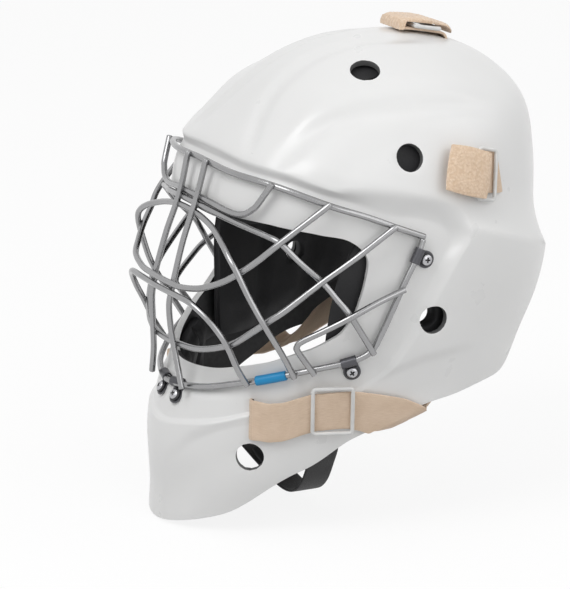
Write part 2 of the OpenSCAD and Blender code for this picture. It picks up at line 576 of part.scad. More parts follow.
// Straps. A rail is a list of angle, map distance and height above the shell. The two rails
// of a strap lie half its width above and below its middle line.
function rail(p, side = 0) = [for (v = p) at(v[0], v[1] + side, v[2])];
function in_slot(f, x, y) = [for (z = [through, lie]) place(f, [x, y, z])];
function drop(t, mm) = mm / (2 * (z_top - z_bot) * t * kz);
hw = strap_w / 2;
lie = 1;
slack = 0.9;
through = -shell_t - 3;
cheek_line = [[cheek_slot[0] + 2, cheek_slot[1], lie], [36, 0.859, lie], [40, 0.857, lie],
    [45, 0.85, lie], [50, 0.844, lie], [56, 0.842, lie]];
cheek_up = [[63, 0.842, lie], [72, 0.846, lie], [82, 0.856, lie]];
cheek_low = [[61, 0.842, lie], [65, 0.846, lie], [68, 0.85, lie]];
wrap_up = [[91, 0.848, 1.2], [92, 0.854, -shell_t / 2], [94, 0.845, through], [104, 0.815, through - 2]];
wrap_low = [[71, 0.87, 1.2], [77, 0.87, -1.5], [84, 0.868, -5.5], [92, 0.862, through - 2]];
module cheek_strap_left() {
    m = drop(0.85, hw);
    a = concat(in_slot(cheek_slot_f, strap_t / 2, hw), rail(cheek_line, -m), rail(cheek_up, -m),
        rail(wrap_up), [back_at(1.02, 0.04, 7)]);
    b = concat(in_slot(cheek_slot_f, strap_t / 2, -hw), rail(cheek_line, m), rail(cheek_low, m),
        rail(wrap_low), [back_at(0.97, 0.46, 7)]);
    color(beige) band(a, b, strap_t);
}
module cheek_strap_right() {
    mirror([1, 0, 0]) cheek_strap_left();
}
module slider(f, w, h, gap = slack) {
    color(white) wire_loop(f, w, h, slide_d, slide_d / 2 + gap);
}
cheek_slider_f = face_frame(55.6, 0.842, strap_t + lie);
slider_w = 25;
slider_h = strap_w + 5;
module cheek_slider_left() {
    slider(cheek_slider_f, slider_w, slider_h);
}
module cheek_slider_right() {
    mirror([1, 0, 0]) cheek_slider_left();
}

temple_in = [[130, 0.53, through - 3]];
temple_out = [[temple_slot[0] - 1.6, 0.499, lie], [108, 0.492, lie], [99, 0.485, lie]];
module temple_strap_left() {
    m = drop(0.5, hw);
    a = concat([back_at(1, -0.9, 5)], rail(temple_in, -m), in_slot(temple_slot_f, -strap_t / 2, hw),
        rail(temple_out, -m));
    b = concat([back_at(1.02, -0.48, 5)], rail(temple_in, m), in_slot(temple_slot_f, -strap_t / 2, -hw),
        rail(temple_out, m));
    color(beige) band(b, a, strap_t);
}
module temple_strap_right() {
    mirror([1, 0, 0]) temple_strap_left();
}
temple_slider_f = face_frame(110, 0.5, strap_t + lie, -14);
module temple_slider_left() {
    slider(temple_slider_f, 14, strap_w + 6, slack - 0.3);
}
module temple_slider_right() {
    mirror([1, 0, 0]) temple_slider_left();
}
// Soft end of a strap, folded over its slider
module soft_tab(f, w, h, t, lift) {
    low = [for (g = grid(6, 6)) let (r = round_ab(g, 0.12))
        [w / 2 * r[0], h / 2 * r[1], lift - 1.1 * g[0] * g[0]]];
    high = [for (i = [0 : len(low) - 1]) let (g = grid(6, 6)[i])
        low[i] + [0, 0, t * (0.55 + 0.45 * (1 - pow(g[0], 4)) * (1 - pow(g[1], 4)))]];
    color(beige) slab([for (p = low) place(f, p)], [for (p = high) place(f, p)], 6, 6);
}
tab_w = 32;
tab_t = 3;
tab_up = slide_d + slack + 0.4;
temple_tab_f = face_frame(101.8, 0.489, strap_t + lie, -18);
module temple_tab_left() {
    soft_tab(temple_tab_f, tab_w, strap_w + 5, tab_t, tab_up);
}
module temple_tab_right() {
    mirror([1, 0, 0]) temple_tab_left();
}

// Top strap: from the back plate up through the crown slot and forward over the shell
function crown_pt(y, h) = let (a = y > pole_y ? 180 : 0) on(polar(a, at_y(y * ky, a, 0.01, 0.45, 16)), h);
function crown_frame(y, d) = [crown_pt(y, strap_t + lie), [1, 0, 0], d, cross([1, 0, 0], d)];
top_in_y = top_slot_y - strap_t / 2;
crown_line = [[top_in_y, through], [top_in_y, 0], [top_in_y - 2.4, lie], [50, lie], [40, lie], [29.4, lie]];
module top_strap() {
    rear_line = [[180, 0.43, -plate_in - plate_t - 4.5], [180, 0.36, through - 4]];
    mid = concat([back_at(0, -0.92, plate_t + strap_t + 0.8)], rail(rear_line),
        [for (v = crown_line) crown_pt(v[0], v[1])]);
    a = [for (p = mid) [hw, p[1], p[2]]];
    b = [for (p = mid) [-hw, p[1], p[2]]];
    color(beige) band(a, b, strap_t);
}
slider_y = 44.5;
slider_l = 18;
top_slider_f = crown_frame(slider_y, unit(crown_pt(slider_y + 5, 1) - crown_pt(slider_y - 5, 1)));
module top_slider() {
    slider(top_slider_f, strap_w + 6, slider_l, slack - 0.5);
}
// The strap's end is folded down in front of the slider, lies on it and trails behind it
fold_low = [[25.5, 1.6], [28.8, 1.6], [29.6, 7], [38, 6.6], [50, 6.6], [60, 7], [66, 4.4]];
fold_high = [[25.5, 5.5], [26.6, 8], [31, 9.3], [47, 9.7], [50.5, 9.3], [52, 8.4], [60, 8.5], [66, 5.8]];
fold_half = [[25.5, 13.2], [48, 14], [53, 12], [62, 10.5], [66, 7]];
fold_y = [25.5, 26.6, 28.8, 29.6, 32, 38, 44, 50, 52, 56, 60, 63, 66];
module top_tab() {
    sides = [-1, -0.9, -0.4, 0.4, 0.9, 1];
    low = [for (y = fold_y) for (k = sides) crown_pt(y, lookup(y, fold_low))
        + [k * lookup(y, fold_half), 0, 0]];
    high = [for (y = fold_y) for (k = sides) crown_pt(y, lookup(y, fold_high) - 1.2 * pow(k, 6))
        + [k * lookup(y, fold_half), 0, 0]];
    color(beige) slab(low, high, len(sides) - 1, len(fold_y) - 1);
}

// Chin sling, its snaps and its cup
stud_d = 6;
button_t = 1.2;
button_d = 11;
snap_gap = 0.3;
wall_x = at(snap_a, snap_t, -shell_t)[0];
snap_p = [wall_x - sling_in, snap_y * ky, snap_z * kz];
sling_x = snap_p[0] - sling_t;
foot_h = sling_in - snap_gap - 2.4;
module snap_one() {
    translate(snap_p + [snap_gap, 0, 0]) rotate([0, 90, 0]) {
        cylinder(h = button_t, d = button_d, $fn = 24);
        translate([0, 0, button_t]) cylinder(h = foot_h - button_t, d1 = button_d, d2 = stud_d + 1, $fn = 24);
        cylinder(h = sling_in - snap_gap - 2.1, d = stud_d, $fn = 24);
    }
    translate(snap_p + [snap_gap, 0, 0]) rotate([0, -90, 0]) {
        cylinder(h = sling_t + 3 * snap_gap, d = stud_d, $fn = 24);
        translate([0, 0, sling_t + 2 * snap_gap]) cylinder(h = button_t, d = button_d, $fn = 24);
    }
}
module sling_snaps() {
    color(dark) pair() snap_one();
}
// The slack sling hangs lower on the left, as shares of its half width and of its drop
sling_way = [[-1, 0.15], [-1, 0], [-1, -0.15], [-0.93, -0.3], [-0.8, -0.46], [-0.58, -0.62],
    [-0.29, -0.75], [0, -0.86], [0.25, -0.95], [0.42, -0.98], [0.57, -0.96], [0.7, -0.87], [0.82, -0.68],
    [0.92, -0.4], [1, -0.15], [1, 0], [1, 0.15]];
sling_low = [for (k = [2 : 14]) [sling_way[k][0] * sling_x, sling_way[k][1] * sling_drop]];
sling_mm = [for (v = sling_way) [v[0] * sling_x, v[1] * sling_drop]];
module chin_sling() {
    a = [for (p = sling_mm) [p[0], snap_p[1] - sling_w / 2, snap_p[2] + p[1]]];
    b = [for (p = sling_mm) [p[0], snap_p[1] + sling_w / 2, snap_p[2] + p[1]]];
    color(black) difference() {
        band(a, b, sling_t);
        translate([0, snap_p[1], snap_p[2]]) rotate([0, 90, 0])
            cylinder(h = 300, d = stud_d + hole_slack, center = true, $fn = 24);
    }
}
cup_w = 42;
cup_l = sling_w - 2;
cup_t = 4;
module chin_cup() {
    cells = grid(12, 8);
    low = [for (g = cells) let (r = round_ab(g, 0.3), x = cup_w / 2 * r[0])
        [x, snap_p[1] + cup_l / 2 * r[1], snap_p[2] + lookup(x, sling_low) + snap_gap]];
    high = [for (i = [0 : len(low) - 1])
        low[i] + [0, 0, cup_t * (0.4 + 0.6 * (1 - pow(cells[i][0], 6)) * (1 - pow(cells[i][1], 6)))]];
    color(black) slab(low, high, 12, 8);
}

shell();
frame_wire_top();
frame_wire_side();
center_bar_left();
center_bar_right();
brow_loop();
eye_arch();
inner_arch();
cross_wire_upper();
cross_wire_lower();
cheek_wire_left();
cheek_wire_right();
nose_arch();
wire_sleeve();
clips();
clip_washers();
clip_screws();
clip_nuts();
brow_pad();
crown_pad();
temple_pad_left();
temple_pad_right();
cheek_pad_left();
cheek_pad_right();
jaw_pad_left();
jaw_pad_right();
back_plate();
back_pad();
top_strap();
top_slider();
top_tab();
temple_strap_left();
temple_strap_right();
temple_slider_left();
temple_slider_right();
temple_tab_left();
temple_tab_right();
cheek_strap_left();
cheek_strap_right();
cheek_slider_left();
cheek_slider_right();
sling_snaps();
chin_sling();
chin_cup();
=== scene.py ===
import math

import bmesh
import bpy
import numpy as np
from mathutils import Matrix, Vector, noise


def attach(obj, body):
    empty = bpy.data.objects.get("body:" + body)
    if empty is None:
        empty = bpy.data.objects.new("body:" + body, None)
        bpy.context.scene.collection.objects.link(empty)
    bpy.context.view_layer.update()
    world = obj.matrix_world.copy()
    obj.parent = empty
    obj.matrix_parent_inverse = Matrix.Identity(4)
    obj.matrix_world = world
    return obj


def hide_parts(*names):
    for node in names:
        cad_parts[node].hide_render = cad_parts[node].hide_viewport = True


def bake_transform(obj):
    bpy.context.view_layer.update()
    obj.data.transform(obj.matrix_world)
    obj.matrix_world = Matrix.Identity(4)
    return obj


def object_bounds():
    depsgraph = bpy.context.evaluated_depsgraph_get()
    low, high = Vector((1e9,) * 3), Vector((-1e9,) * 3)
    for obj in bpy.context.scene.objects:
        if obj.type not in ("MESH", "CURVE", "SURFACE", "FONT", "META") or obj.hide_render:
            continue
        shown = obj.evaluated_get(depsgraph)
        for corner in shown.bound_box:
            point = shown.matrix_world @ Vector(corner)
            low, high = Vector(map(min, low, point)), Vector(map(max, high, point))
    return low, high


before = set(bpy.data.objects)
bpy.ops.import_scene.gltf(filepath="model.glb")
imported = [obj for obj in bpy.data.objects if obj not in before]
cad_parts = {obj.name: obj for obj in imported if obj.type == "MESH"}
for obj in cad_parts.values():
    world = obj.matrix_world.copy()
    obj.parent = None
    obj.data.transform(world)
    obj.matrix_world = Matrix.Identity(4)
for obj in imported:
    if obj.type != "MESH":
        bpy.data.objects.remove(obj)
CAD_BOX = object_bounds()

bl_info = {
    "name": "Goalie mask",
    "version": (1, 0, 0),
    "blender": (4, 5, 0),
    "location": "View3D > Sidebar > Mask",
    "description": "Dresses the goalie mask: shell, cage, clips, liner, harness and stage",
    "category": "Object",
}

MM = 0.001

# All lengths are in millimetres up to where they meet a mesh.
# Form of the shell: section sizes and roundness at nine steps from the crown to the chin
Z_TOP, Z_BOT, POLE_Y = 164.0, -145.0, 14.0
HALF_W = [0, 31, 58, 87, 101, 106.5, 106, 94, 66]
FRONT_L = [0, 37, 66, 90, 113, 119, 115, 136, 142]
BACK_L = [0, 42, 80, 105, 112, 112, 110, 95, 70]
FRONT_N = [2.1, 2.1, 2.15, 2.3, 3, 2.6, 2.15, 2.05, 2.3]
# Its wall and the depth or height of its moulded forms
WALL, RECESS, SEAT_IN, FLARE, GROOVE, RIDGE, LEDGE = 4.2, 4.5, 2.8, 9.5, 2.4, 2.2, 3.0
# Wire: diameter, height over the face, and how far two wires sink into each other
WIRE, WIRE_UP, WELD = 4.0, 1.0, 0.5
# Clip: screw's distance from the wire, width, thickness, gap under it, and the screw's head
SCREW_X, CLIP_W, CLIP_T, SEAT, HEAD_D = 7.8, 11.0, 0.9, 0.3, 7.0
# Straps and the wire of their sliders, then the sling, then the liner and the back plate
STRAP_W, STRAP_T, SLIDE_D = 25.4, 1.6, 2.6
SLING_W, SLING_T, SLING_DROP = 19.0, 1.6, 42.0
PAD_T, PAD_GAP, PLATE_T, PLATE_IN = 12.0, 1.0, 3.0, 9.0
# How high a strap lies, how loosely a slider sits on it, and where it runs behind the wall
LIE, SLACK = 1.0, 0.9
THROUGH = -WALL - 3


def curve(p, x):
    """The smooth line through the points p, at places x counted in points."""
    p = np.asarray(p, float)
    e = np.concatenate([[2 * p[0] - p[1]], p, [2 * p[-1] - p[-2]]])
    x = np.asarray(x, float)
    i = np.clip(np.floor(x).astype(int), 0, len(p) - 2)
    f = x - i
    if p.ndim > 1:
        f = f[..., None]
    a, b, c, d = e[i], e[i + 1], e[i + 2], e[i + 3]
    return 0.5 * (2 * b + (c - a) * f + (2 * a - 5 * b + 4 * c - d) * f * f + (3 * b - 3 * c + d - a) * f**3)


def ring_at(p, x):
    """The same through a closed ring of points."""
    p = np.asarray(p, float)
    n = len(p)
    i = np.floor(x).astype(int)
    f = (x - i)[..., None]
    a, b, c, d = p[(i - 1) % n], p[i % n], p[(i + 1) % n], p[(i + 2) % n]
    return 0.5 * (2 * b + (c - a) * f + (2 * a - 5 * b + 4 * c - d) * f * f + (3 * b - 3 * c + d - a) * f**3)


def ease(a, b, x):
    """Rises smoothly from 0 at a to 1 at b."""
    s = np.clip((x - a) / (b - a), 0, 1)
    return s * s * (3 - 2 * s)


def bump(s):
    """1 at the middle, falling smoothly to 0 at -1 and 1."""
    return np.where(np.abs(s) >= 1, 0, (1 - np.minimum(s * s, 1)) ** 2)


def look(x, table):
    """Reads a table of (place, value) rows."""
    table = np.asarray(table, float)
    return np.interp(x, table[:, 0], table[:, 1])


def unit(v):
    return v / np.maximum(np.linalg.norm(v, axis=-1, keepdims=True), 1e-9)


def polar(a, t):
    """Map point at angle a in degrees, 0 at the front and 90 at the left, and share t from the crown to the chin."""
    a = np.radians(a)
    return np.stack([t * np.sin(a), -t * np.cos(a)], -1)


def ledge_of(a, t):
    """The ledge that the chin makes under the cage."""
    return LEDGE * ease(0.82, 0.84, t) * (1 - ease(0.9, 0.97, t)) * (1 - ease(14, 32, a))


def skin(q):
    """The plain form of the shell at map points q, before its ridges and channels."""
    t = np.maximum(np.hypot(q[..., 0], q[..., 1]), 0.004)
    a = np.arctan2(q[..., 0], -q[..., 1])
    x = t * 8
    front = np.cos(a) > 0
    w = np.maximum(curve(HALF_W, x), 0.01)
    d = np.maximum(np.where(front, curve(FRONT_L, x), curve(BACK_L, x)), 0.01)
    n = np.where(front, curve(FRONT_N, x), 2.2)
    r = ((np.abs(np.sin(a)) / w) ** n + (np.abs(np.cos(a)) / d) ** n) ** (-1 / n)
    r = r + ledge_of(np.abs(np.degrees(a)), t)
    return np.stack([r * np.sin(a), POLE_Y * (1 - t) ** 2 - r * np.cos(a), Z_TOP - (Z_TOP - Z_BOT) * t * t], -1)


def out_of(q):
    """Outward directions of the plain form."""
    e = 0.006
    u = skin(q + [e, 0]) - skin(q - [e, 0])
    v = skin(q + [0, e]) - skin(q - [0, e])
    return unit(np.cross(u, v))


# Lines of the moulded relief: share from crown to chin over the angle; the channels' offset from the middle over Y
CREASE = [[40, 0.492], [149, 0.666], [180, 0.7]]
RIDGE_AT = [[20, 0.41], [24, 0.388], [33, 0.35], [44, 0.315], [64, 0.285], [91, 0.281], [115, 0.296], [140, 0.34]]
VALLEY = [[30, 0.47], [38.7, 0.42], [44, 0.387], [51, 0.356], [64, 0.337], [88, 0.331], [109, 0.339], [135, 0.37]]
JAW = [[0, 0.94], [9, 0.903], [14, 0.882], [22, 0.864], [30, 0.853], [45, 0.835], [66, 0.807], [86, 0.781],
       [110, 0.77]]
CHANNEL = [[-95, 30], [-80, 16], [-66, 10], [-42, 7], [0, 9], [40, 12]]


def relief(q):
    """Height of the flare, the crown's channels, the side ridges and the jaw line over the plain form."""
    t = np.hypot(q[..., 0], q[..., 1])
    a = np.abs(np.degrees(np.arctan2(q[..., 0], -q[..., 1])))
    p = skin(q)
    tc, tr = look(a, CREASE), look(a, RIDGE_AT)
    u = (t - tr) / np.maximum(0.02, look(a, VALLEY) - tr)
    s = np.clip((t - tc + 0.095) / 0.095, 0, 1)
    h = (1.2 * ease(36, 60, a) + FLARE * ease(70, 138, a)) * s * s * (1 - 0.8 * ease(0, 0.16, t - tc))
    x, y = np.abs(p[..., 0]), p[..., 1]
    h = h - GROOVE * bump((x - look(y, CHANNEL) - 10) / 10) * ease(-102, -86, y) * (1 - ease(10, 50, y)) * (
        1 - ease(0.42, 0.47, t))
    h = h + RIDGE * (bump((u - 0.25) / 0.9) - 0.7 * bump((u - 1.05) / 0.55)) * ease(30, 42, a) * (
        1 - ease(105, 130, a))
    h = h + 1.3 * ease(1.2, 1.9, u) * ease(34, 46, a) * (1 - ease(100, 130, a)) * (1 - ease(-0.05, -0.01, t - tc))
    below = t - look(a, JAW)
    return h - 2 * ease(-0.006, 0.012, below) * ease(4, 14, a) * (1 - ease(95, 112, a)) * (
        1 - ease(0.04, 0.09, below))


def on(q, h):
    """Points h over the moulded face."""
    return skin(q) + out_of(q) * (relief(q) + h)[..., None]


def under(q, h):
    """Points h under it, where ridges on the outside don't lift the liner."""
    return skin(q) + out_of(q) * (np.minimum(0, relief(q)) - h)[..., None]


def at(a, t, h):
    """Points h over the moulded face at angle a and share t."""
    return on(polar(np.asarray(a, float), np.asarray(t, float)), np.asarray(h, float))


# Left halves of the three rings of the shell as (angle, share): the window, the recess round it and the outer rim.
# DEPTH and FADE give the depth of the recess and the width of its slope over the places in those rings.
WIN = [[0, 0.57], [20, 0.567], [38, 0.572], [51, 0.584], [61, 0.597], [66.5, 0.625], [66.3, 0.658], [64.5, 0.692],
       [62, 0.72], [56.5, 0.748], [46, 0.769], [32, 0.788], [16, 0.802], [0, 0.806]]
REC = [[0, 0.468], [20, 0.472], [38, 0.482], [55, 0.514], [73, 0.556], [95, 0.598], [91, 0.655], [84, 0.71],
       [79, 0.757], [70, 0.803], [56, 0.827], [37, 0.839], [19, 0.86], [0, 0.872]]
RIM = [[180, 0.49], [170, 0.495], [161, 0.512], [153, 0.545], [147, 0.595], [141, 0.655], [135, 0.745], [124, 0.822],
       [102, 0.838], [80, 0.858], [62, 0.8835], [44, 0.9215], [22, 0.972], [0, 0.991]]
DEPTH_X = [[3.4, RECESS], [5.2, SEAT_IN]]
FADE_X = [[3, 0.018], [4.6, 0.16], [9, 0.16], [11, 0.07]]


def loop_of(h):
    """The whole ring of map points for a left half."""
    h = np.array(h, float)
    left = polar(h[:, 0], h[:, 1])
    return np.concatenate([left, (left * [-1, 1])[-2:0:-1]])


def face_frame(a, t, h=0.0, turn=0.0):
    """A frame on the moulded face, as rows: place, X along the face, Y up along it, Z outward."""
    q = polar(float(a), float(t))
    z = out_of(q)
    x0 = unit(np.cross([0, 0, 1.0], z))
    y0 = np.cross(z, x0)
    x = x0 * math.cos(math.radians(turn)) + y0 * math.sin(math.radians(turn))
    return np.array([on(q, np.array(float(h))), x, np.cross(z, x), z])


def place(f, v):
    """Points v, given in the frame f."""
    v = np.asarray(v, float)
    return f[0] + v[..., 0:1] * f[1] + v[..., 1:2] * f[2] + v[..., 2:3] * f[3]


def sided(v, side=-1):
    """Points or a frame of the left side: as they are for 1, mirrored to the right for -1."""
    return np.array(v) * [side, 1, 1]


def run_of(p):
    """Length along a path up to each of its points."""
    return np.concatenate([[0], np.cumsum(np.linalg.norm(np.diff(p, axis=0), axis=1))])


# Meshes
def mesh_from(bm, name):
    """A smooth-shaded object from a bmesh, which is used up."""
    me = bpy.data.meshes.new(name)
    bm.normal_update()
    bm.to_mesh(me)
    bm.free()
    for p in me.polygons:
        p.use_smooth = True
    obj = bpy.data.objects.new(name, me)
    bpy.context.scene.collection.objects.link(obj)
    return obj


def grid_bm(nu, nv):
    """A flat grid and the place of each vertex in it, from 0 to 1."""
    bm = bmesh.new()
    bmesh.ops.create_grid(bm, x_segments=nu, y_segments=nv, size=0.5)
    bm.verts.ensure_lookup_table()
    co = np.array([v.co[:2] for v in bm.verts]) + 0.5
    return bm, co


def move_verts(bm, p):
    """Moves the vertices to the points p, in order."""
    for v, c in zip(bm.verts, p):
        v.co = c


def block_bm(n, m):
    """A closed block cut n times each way on top and m times down the sides, and its points."""
    bm = bmesh.new()
    bmesh.ops.create_cube(bm, size=1)
    up = [e for e in bm.edges if abs(e.verts[0].co.z - e.verts[1].co.z) > 0.5]
    flat = [e for e in bm.edges if e not in up]
    bmesh.ops.subdivide_edges(bm, edges=flat, cuts=n, use_grid_fill=True)
    up = [e for e in bm.edges if abs(e.verts[0].co.z - e.verts[1].co.z) > 0.5]
    bmesh.ops.subdivide_edges(bm, edges=up, cuts=m, use_grid_fill=True)
    return bm, np.array([v.co[:] for v in bm.verts])


def round_ab(g, k):
    """Points of a square with its corners rounded; k = 0 leaves them square."""
    return np.stack([g[:, 0] * np.sqrt(1 - k * g[:, 1] ** 2), g[:, 1] * np.sqrt(1 - k * g[:, 0] ** 2)], -1)


def round_edges(bm, width, angle, segments):
    """Bevels the edges whose faces meet at more than angle, in radians; width is in metres."""
    bm.normal_update()
    sharp = [e for e in bm.edges if len(e.link_faces) == 2 and e.calc_face_angle(0) > angle]
    bmesh.ops.bevel(bm, geom=sharp, offset=width, offset_type="OFFSET", segments=segments, profile=0.5,
                    affect="EDGES", clamp_overlap=True, material=-1)


def rounded(bm, name, width, angle, segments):
    """The finished object from a closed bmesh, with its edges rounded."""
    bmesh.ops.recalc_face_normals(bm, faces=list(bm.faces))
    round_edges(bm, width, angle, segments)
    return mesh_from(bm, name)


def turned_out(bm, far, way):
    """Turns a sheet over unless its farthest face along one axis looks outward along the other."""
    bm.normal_update()
    if max(bm.faces, key=lambda face: face.calc_center_median()[far]).normal[way] < 0:
        bmesh.ops.reverse_faces(bm, faces=list(bm.faces))
    bm.normal_update()


def thicken(bm, t):
    """Gives a sheet the wall t on the side away from its normals."""
    bmesh.ops.solidify(bm, geom=list(bm.faces), thickness=t)


def box_bm(x, y, z):
    """A box of these sizes about the origin."""
    bm = bmesh.new()
    bmesh.ops.create_cube(bm, size=1)
    bmesh.ops.scale(bm, vec=(x * MM, y * MM, z * MM), verts=list(bm.verts))
    return bm


def rod_bm(r, length, segments, matrix):
    """A cylinder of radius r about Z, moved by the matrix."""
    bm = bmesh.new()
    bmesh.ops.create_cone(bm, cap_ends=True, segments=segments, radius1=r * MM, radius2=r * MM, depth=length * MM,
                          matrix=matrix)
    return bm


def shift(bm, x, y, z):
    bmesh.ops.translate(bm, vec=(x * MM, y * MM, z * MM), verts=list(bm.verts))


def swept(name, points, d, sides=4, closed=False):
    """A round wire of diameter d along points, in metres."""
    data = bpy.data.curves.new(name, "CURVE")
    data.dimensions = "3D"
    data.bevel_depth = d / 2
    data.bevel_resolution = sides
    data.use_fill_caps = not closed
    spline = data.splines.new("POLY")
    spline.points.add(len(points) - 1)
    spline.points.foreach_set("co", np.column_stack([points, np.ones(len(points))]).astype(np.float32).ravel())
    spline.use_cyclic_u = closed
    holder = bpy.data.objects.new(name + "_line", data)
    bpy.context.scene.collection.objects.link(holder)
    bpy.context.view_layer.update()
    me = bpy.data.meshes.new_from_object(holder.evaluated_get(bpy.context.evaluated_depsgraph_get()))
    bpy.data.objects.remove(holder)
    me.name = name
    bm = bmesh.new()
    bm.from_mesh(me)
    bmesh.ops.remove_doubles(bm, verts=list(bm.verts), dist=1e-6)
    bmesh.ops.recalc_face_normals(bm, faces=list(bm.faces))
    if not closed:
        round_edges(bm, d * 0.09, 1.2, 2)
    bpy.data.meshes.remove(me)
    return mesh_from(bm, name)


def lathe(profile, steps):
    """A turned solid from (radius, height) points, axis +Z."""
    bm = bmesh.new()
    verts = [bm.verts.new((r * MM, 0, z * MM)) for r, z in profile]
    edges = [bm.edges.new(pair) for pair in zip(verts, verts[1:])]
    bmesh.ops.spin(bm, geom=verts + edges, cent=(0, 0, 0), axis=(0, 0, 1), angle=2 * math.pi, steps=steps,
                   use_merge=True)
    bmesh.ops.remove_doubles(bm, verts=list(bm.verts), dist=1e-7)
    bmesh.ops.recalc_face_normals(bm, faces=list(bm.faces))
    return bm


def to_frame(bm, f):
    """Moves a bmesh modelled at the origin into the frame f."""
    m = Matrix(np.column_stack([f[1], f[2], f[3]]).tolist()).to_4x4()
    m.translation = Vector((np.asarray(f[0]) * MM).tolist())
    bmesh.ops.transform(bm, matrix=m, verts=list(bm.verts))
    if m.to_3x3().determinant() < 0:
        bmesh.ops.reverse_faces(bm, faces=list(bm.faces))


def joined(name, parts):
    """One object from several bmeshes."""
    bm = bmesh.new()
    for part in parts:
        me = bpy.data.meshes.new("part")
        part.to_mesh(me)
        part.free()
        bm.from_mesh(me)
        bpy.data.meshes.remove(me)
    return mesh_from(bm, name)


def mirror_of(obj, name):
    """The same piece on the right side."""
    bm = bmesh.new()
    bm.from_mesh(obj.data)
    bmesh.ops.scale(bm, vec=(-1, 1, 1), verts=list(bm.verts))
    bmesh.ops.reverse_faces(bm, faces=list(bm.faces))
    return mesh_from(bm, name)


def cut_out(obj, tools):
    """Cuts the tools out of the piece."""
    for tool in tools:
        cut = obj.modifiers.new("cut", "BOOLEAN")
        cut.object = tool
        cut.operation = "DIFFERENCE"
        cut.solver = "EXACT"
    bpy.context.view_layer.update()
    me = bpy.data.meshes.new_from_object(obj.evaluated_get(bpy.context.evaluated_depsgraph_get()))
    obj.modifiers.clear()
    obj.data = me


def paint(obj, material):
    """Gives the piece one material."""
    obj.data.materials.clear()
    obj.data.materials.append(material)


def fitted(obj, body, material, node):
    """Paints a finished piece, ties it to its body and lets it stand for its node."""
    paint(obj, material)
    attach(obj, body)
    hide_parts(node)
    return obj


def hung(obj, material, slot, node, start, end):
    """A strap from the shell to the back plate: painted, standing in for its node, and baked where it lies."""
    paint(obj, material)
    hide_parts(node)
    tuple((start * MM).tolist())
    tuple((end * MM).tolist())
    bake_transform(obj)


# Materials
class Wire:
    """A shader socket that takes part in sums."""

    def __init__(self, mat, socket):
        self.mat = mat
        self.socket = socket

    def math(self, kind, a, b):
        return self.mat.add("ShaderNodeMath", {"operation": kind}, {0: a, 1: b})

    def __add__(self, other):
        return self.math("ADD", self, other)

    def __sub__(self, other):
        return self.math("SUBTRACT", self, other)

    def __rsub__(self, other):
        return self.math("SUBTRACT", other, self)

    def __mul__(self, other):
        return self.math("MULTIPLY", self, other)


class Finish:
    """One material and the nodes in it."""

    def __init__(self, name, color, roughness, metallic=0.0, **sockets):
        self.mat = bpy.data.materials.new(name)
        self.mat.use_nodes = True
        self.tree = self.mat.node_tree
        self.shader = self.tree.nodes["Principled BSDF"]
        self.mat.diffuse_color = (*color, 1)
        self.set(self.shader, {"Base Color": (*color, 1), "Roughness": roughness, "Metallic": metallic, **sockets})

    def set(self, node, inputs):
        for key, value in inputs.items():
            if isinstance(value, Wire):
                self.tree.links.new(value.socket, node.inputs[key])
            else:
                node.inputs[key].default_value = value

    def add(self, kind, settings=None, inputs=None, out=0):
        """Adds a node of that kind; settings come first, then its inputs. Gives one of its outputs."""
        node = self.tree.nodes.new(kind)
        for key, value in (settings or {}).items():
            setattr(node, key, value)
        self.set(node, inputs or {})
        return Wire(self, node.outputs[out])

    def place(self):
        """The place on the piece, in metres."""
        return self.add("ShaderNodeTexCoord", out="Object")

    def noise(self, where, scale, detail, rough=0.5):
        return self.add("ShaderNodeTexNoise", None, {"Vector": where, "Scale": scale, "Detail": detail,
                                                     "Roughness": rough})

    def between(self, a, b, amount):
        """Colour a where amount is 0, colour b where it is 1."""
        a, b = (c if isinstance(c, Wire) else (*c, 1) for c in (a, b))
        return self.add("ShaderNodeMix", {"data_type": "RGBA"}, {0: amount, 6: a, 7: b}, out=2)

    def marked(self, name):
        """The number that a piece's faces carry under that name."""
        return self.add("ShaderNodeAttribute", {"attribute_name": name}, out="Fac")

    def mapped(self, value, low, high, to_low=0, to_high=1):
        return self.add("ShaderNodeMapRange", None, {0: value, 1: low, 2: high, 3: to_low, 4: to_high})

    def relief(self, height, strength, distance, under_it=None):
        """A bump on top of the bump under it."""
        inputs = {"Height": height, "Strength": strength, "Distance": distance}
        if under_it is not None:
            inputs["Normal"] = under_it
        return self.add("ShaderNodeBump", None, inputs)

    def use(self, **inputs):
        """Feeds the shader and gives the finished material."""
        self.set(self.shader, {key.replace("_", " "): value for key, value in inputs.items()})
        return self.mat


class PaleRoom(Finish):
    """The world and the nodes in it."""

    def __init__(self, name):
        self.world = bpy.data.worlds.new(name)
        self.world.use_nodes = True
        self.tree = self.world.node_tree


def seen(m):
    """1 for the camera's rays, and for those that gloss or glass sends on."""
    ways = [m.add("ShaderNodeLightPath", out=k) for k in ("Is Camera Ray", "Is Glossy Ray", "Is Transmission Ray")]
    return m.add("ShaderNodeClamp", None, {0: ways[0] + ways[1] + ways[2]})


def settings():
    return bpy.context.scene.goalie_mask


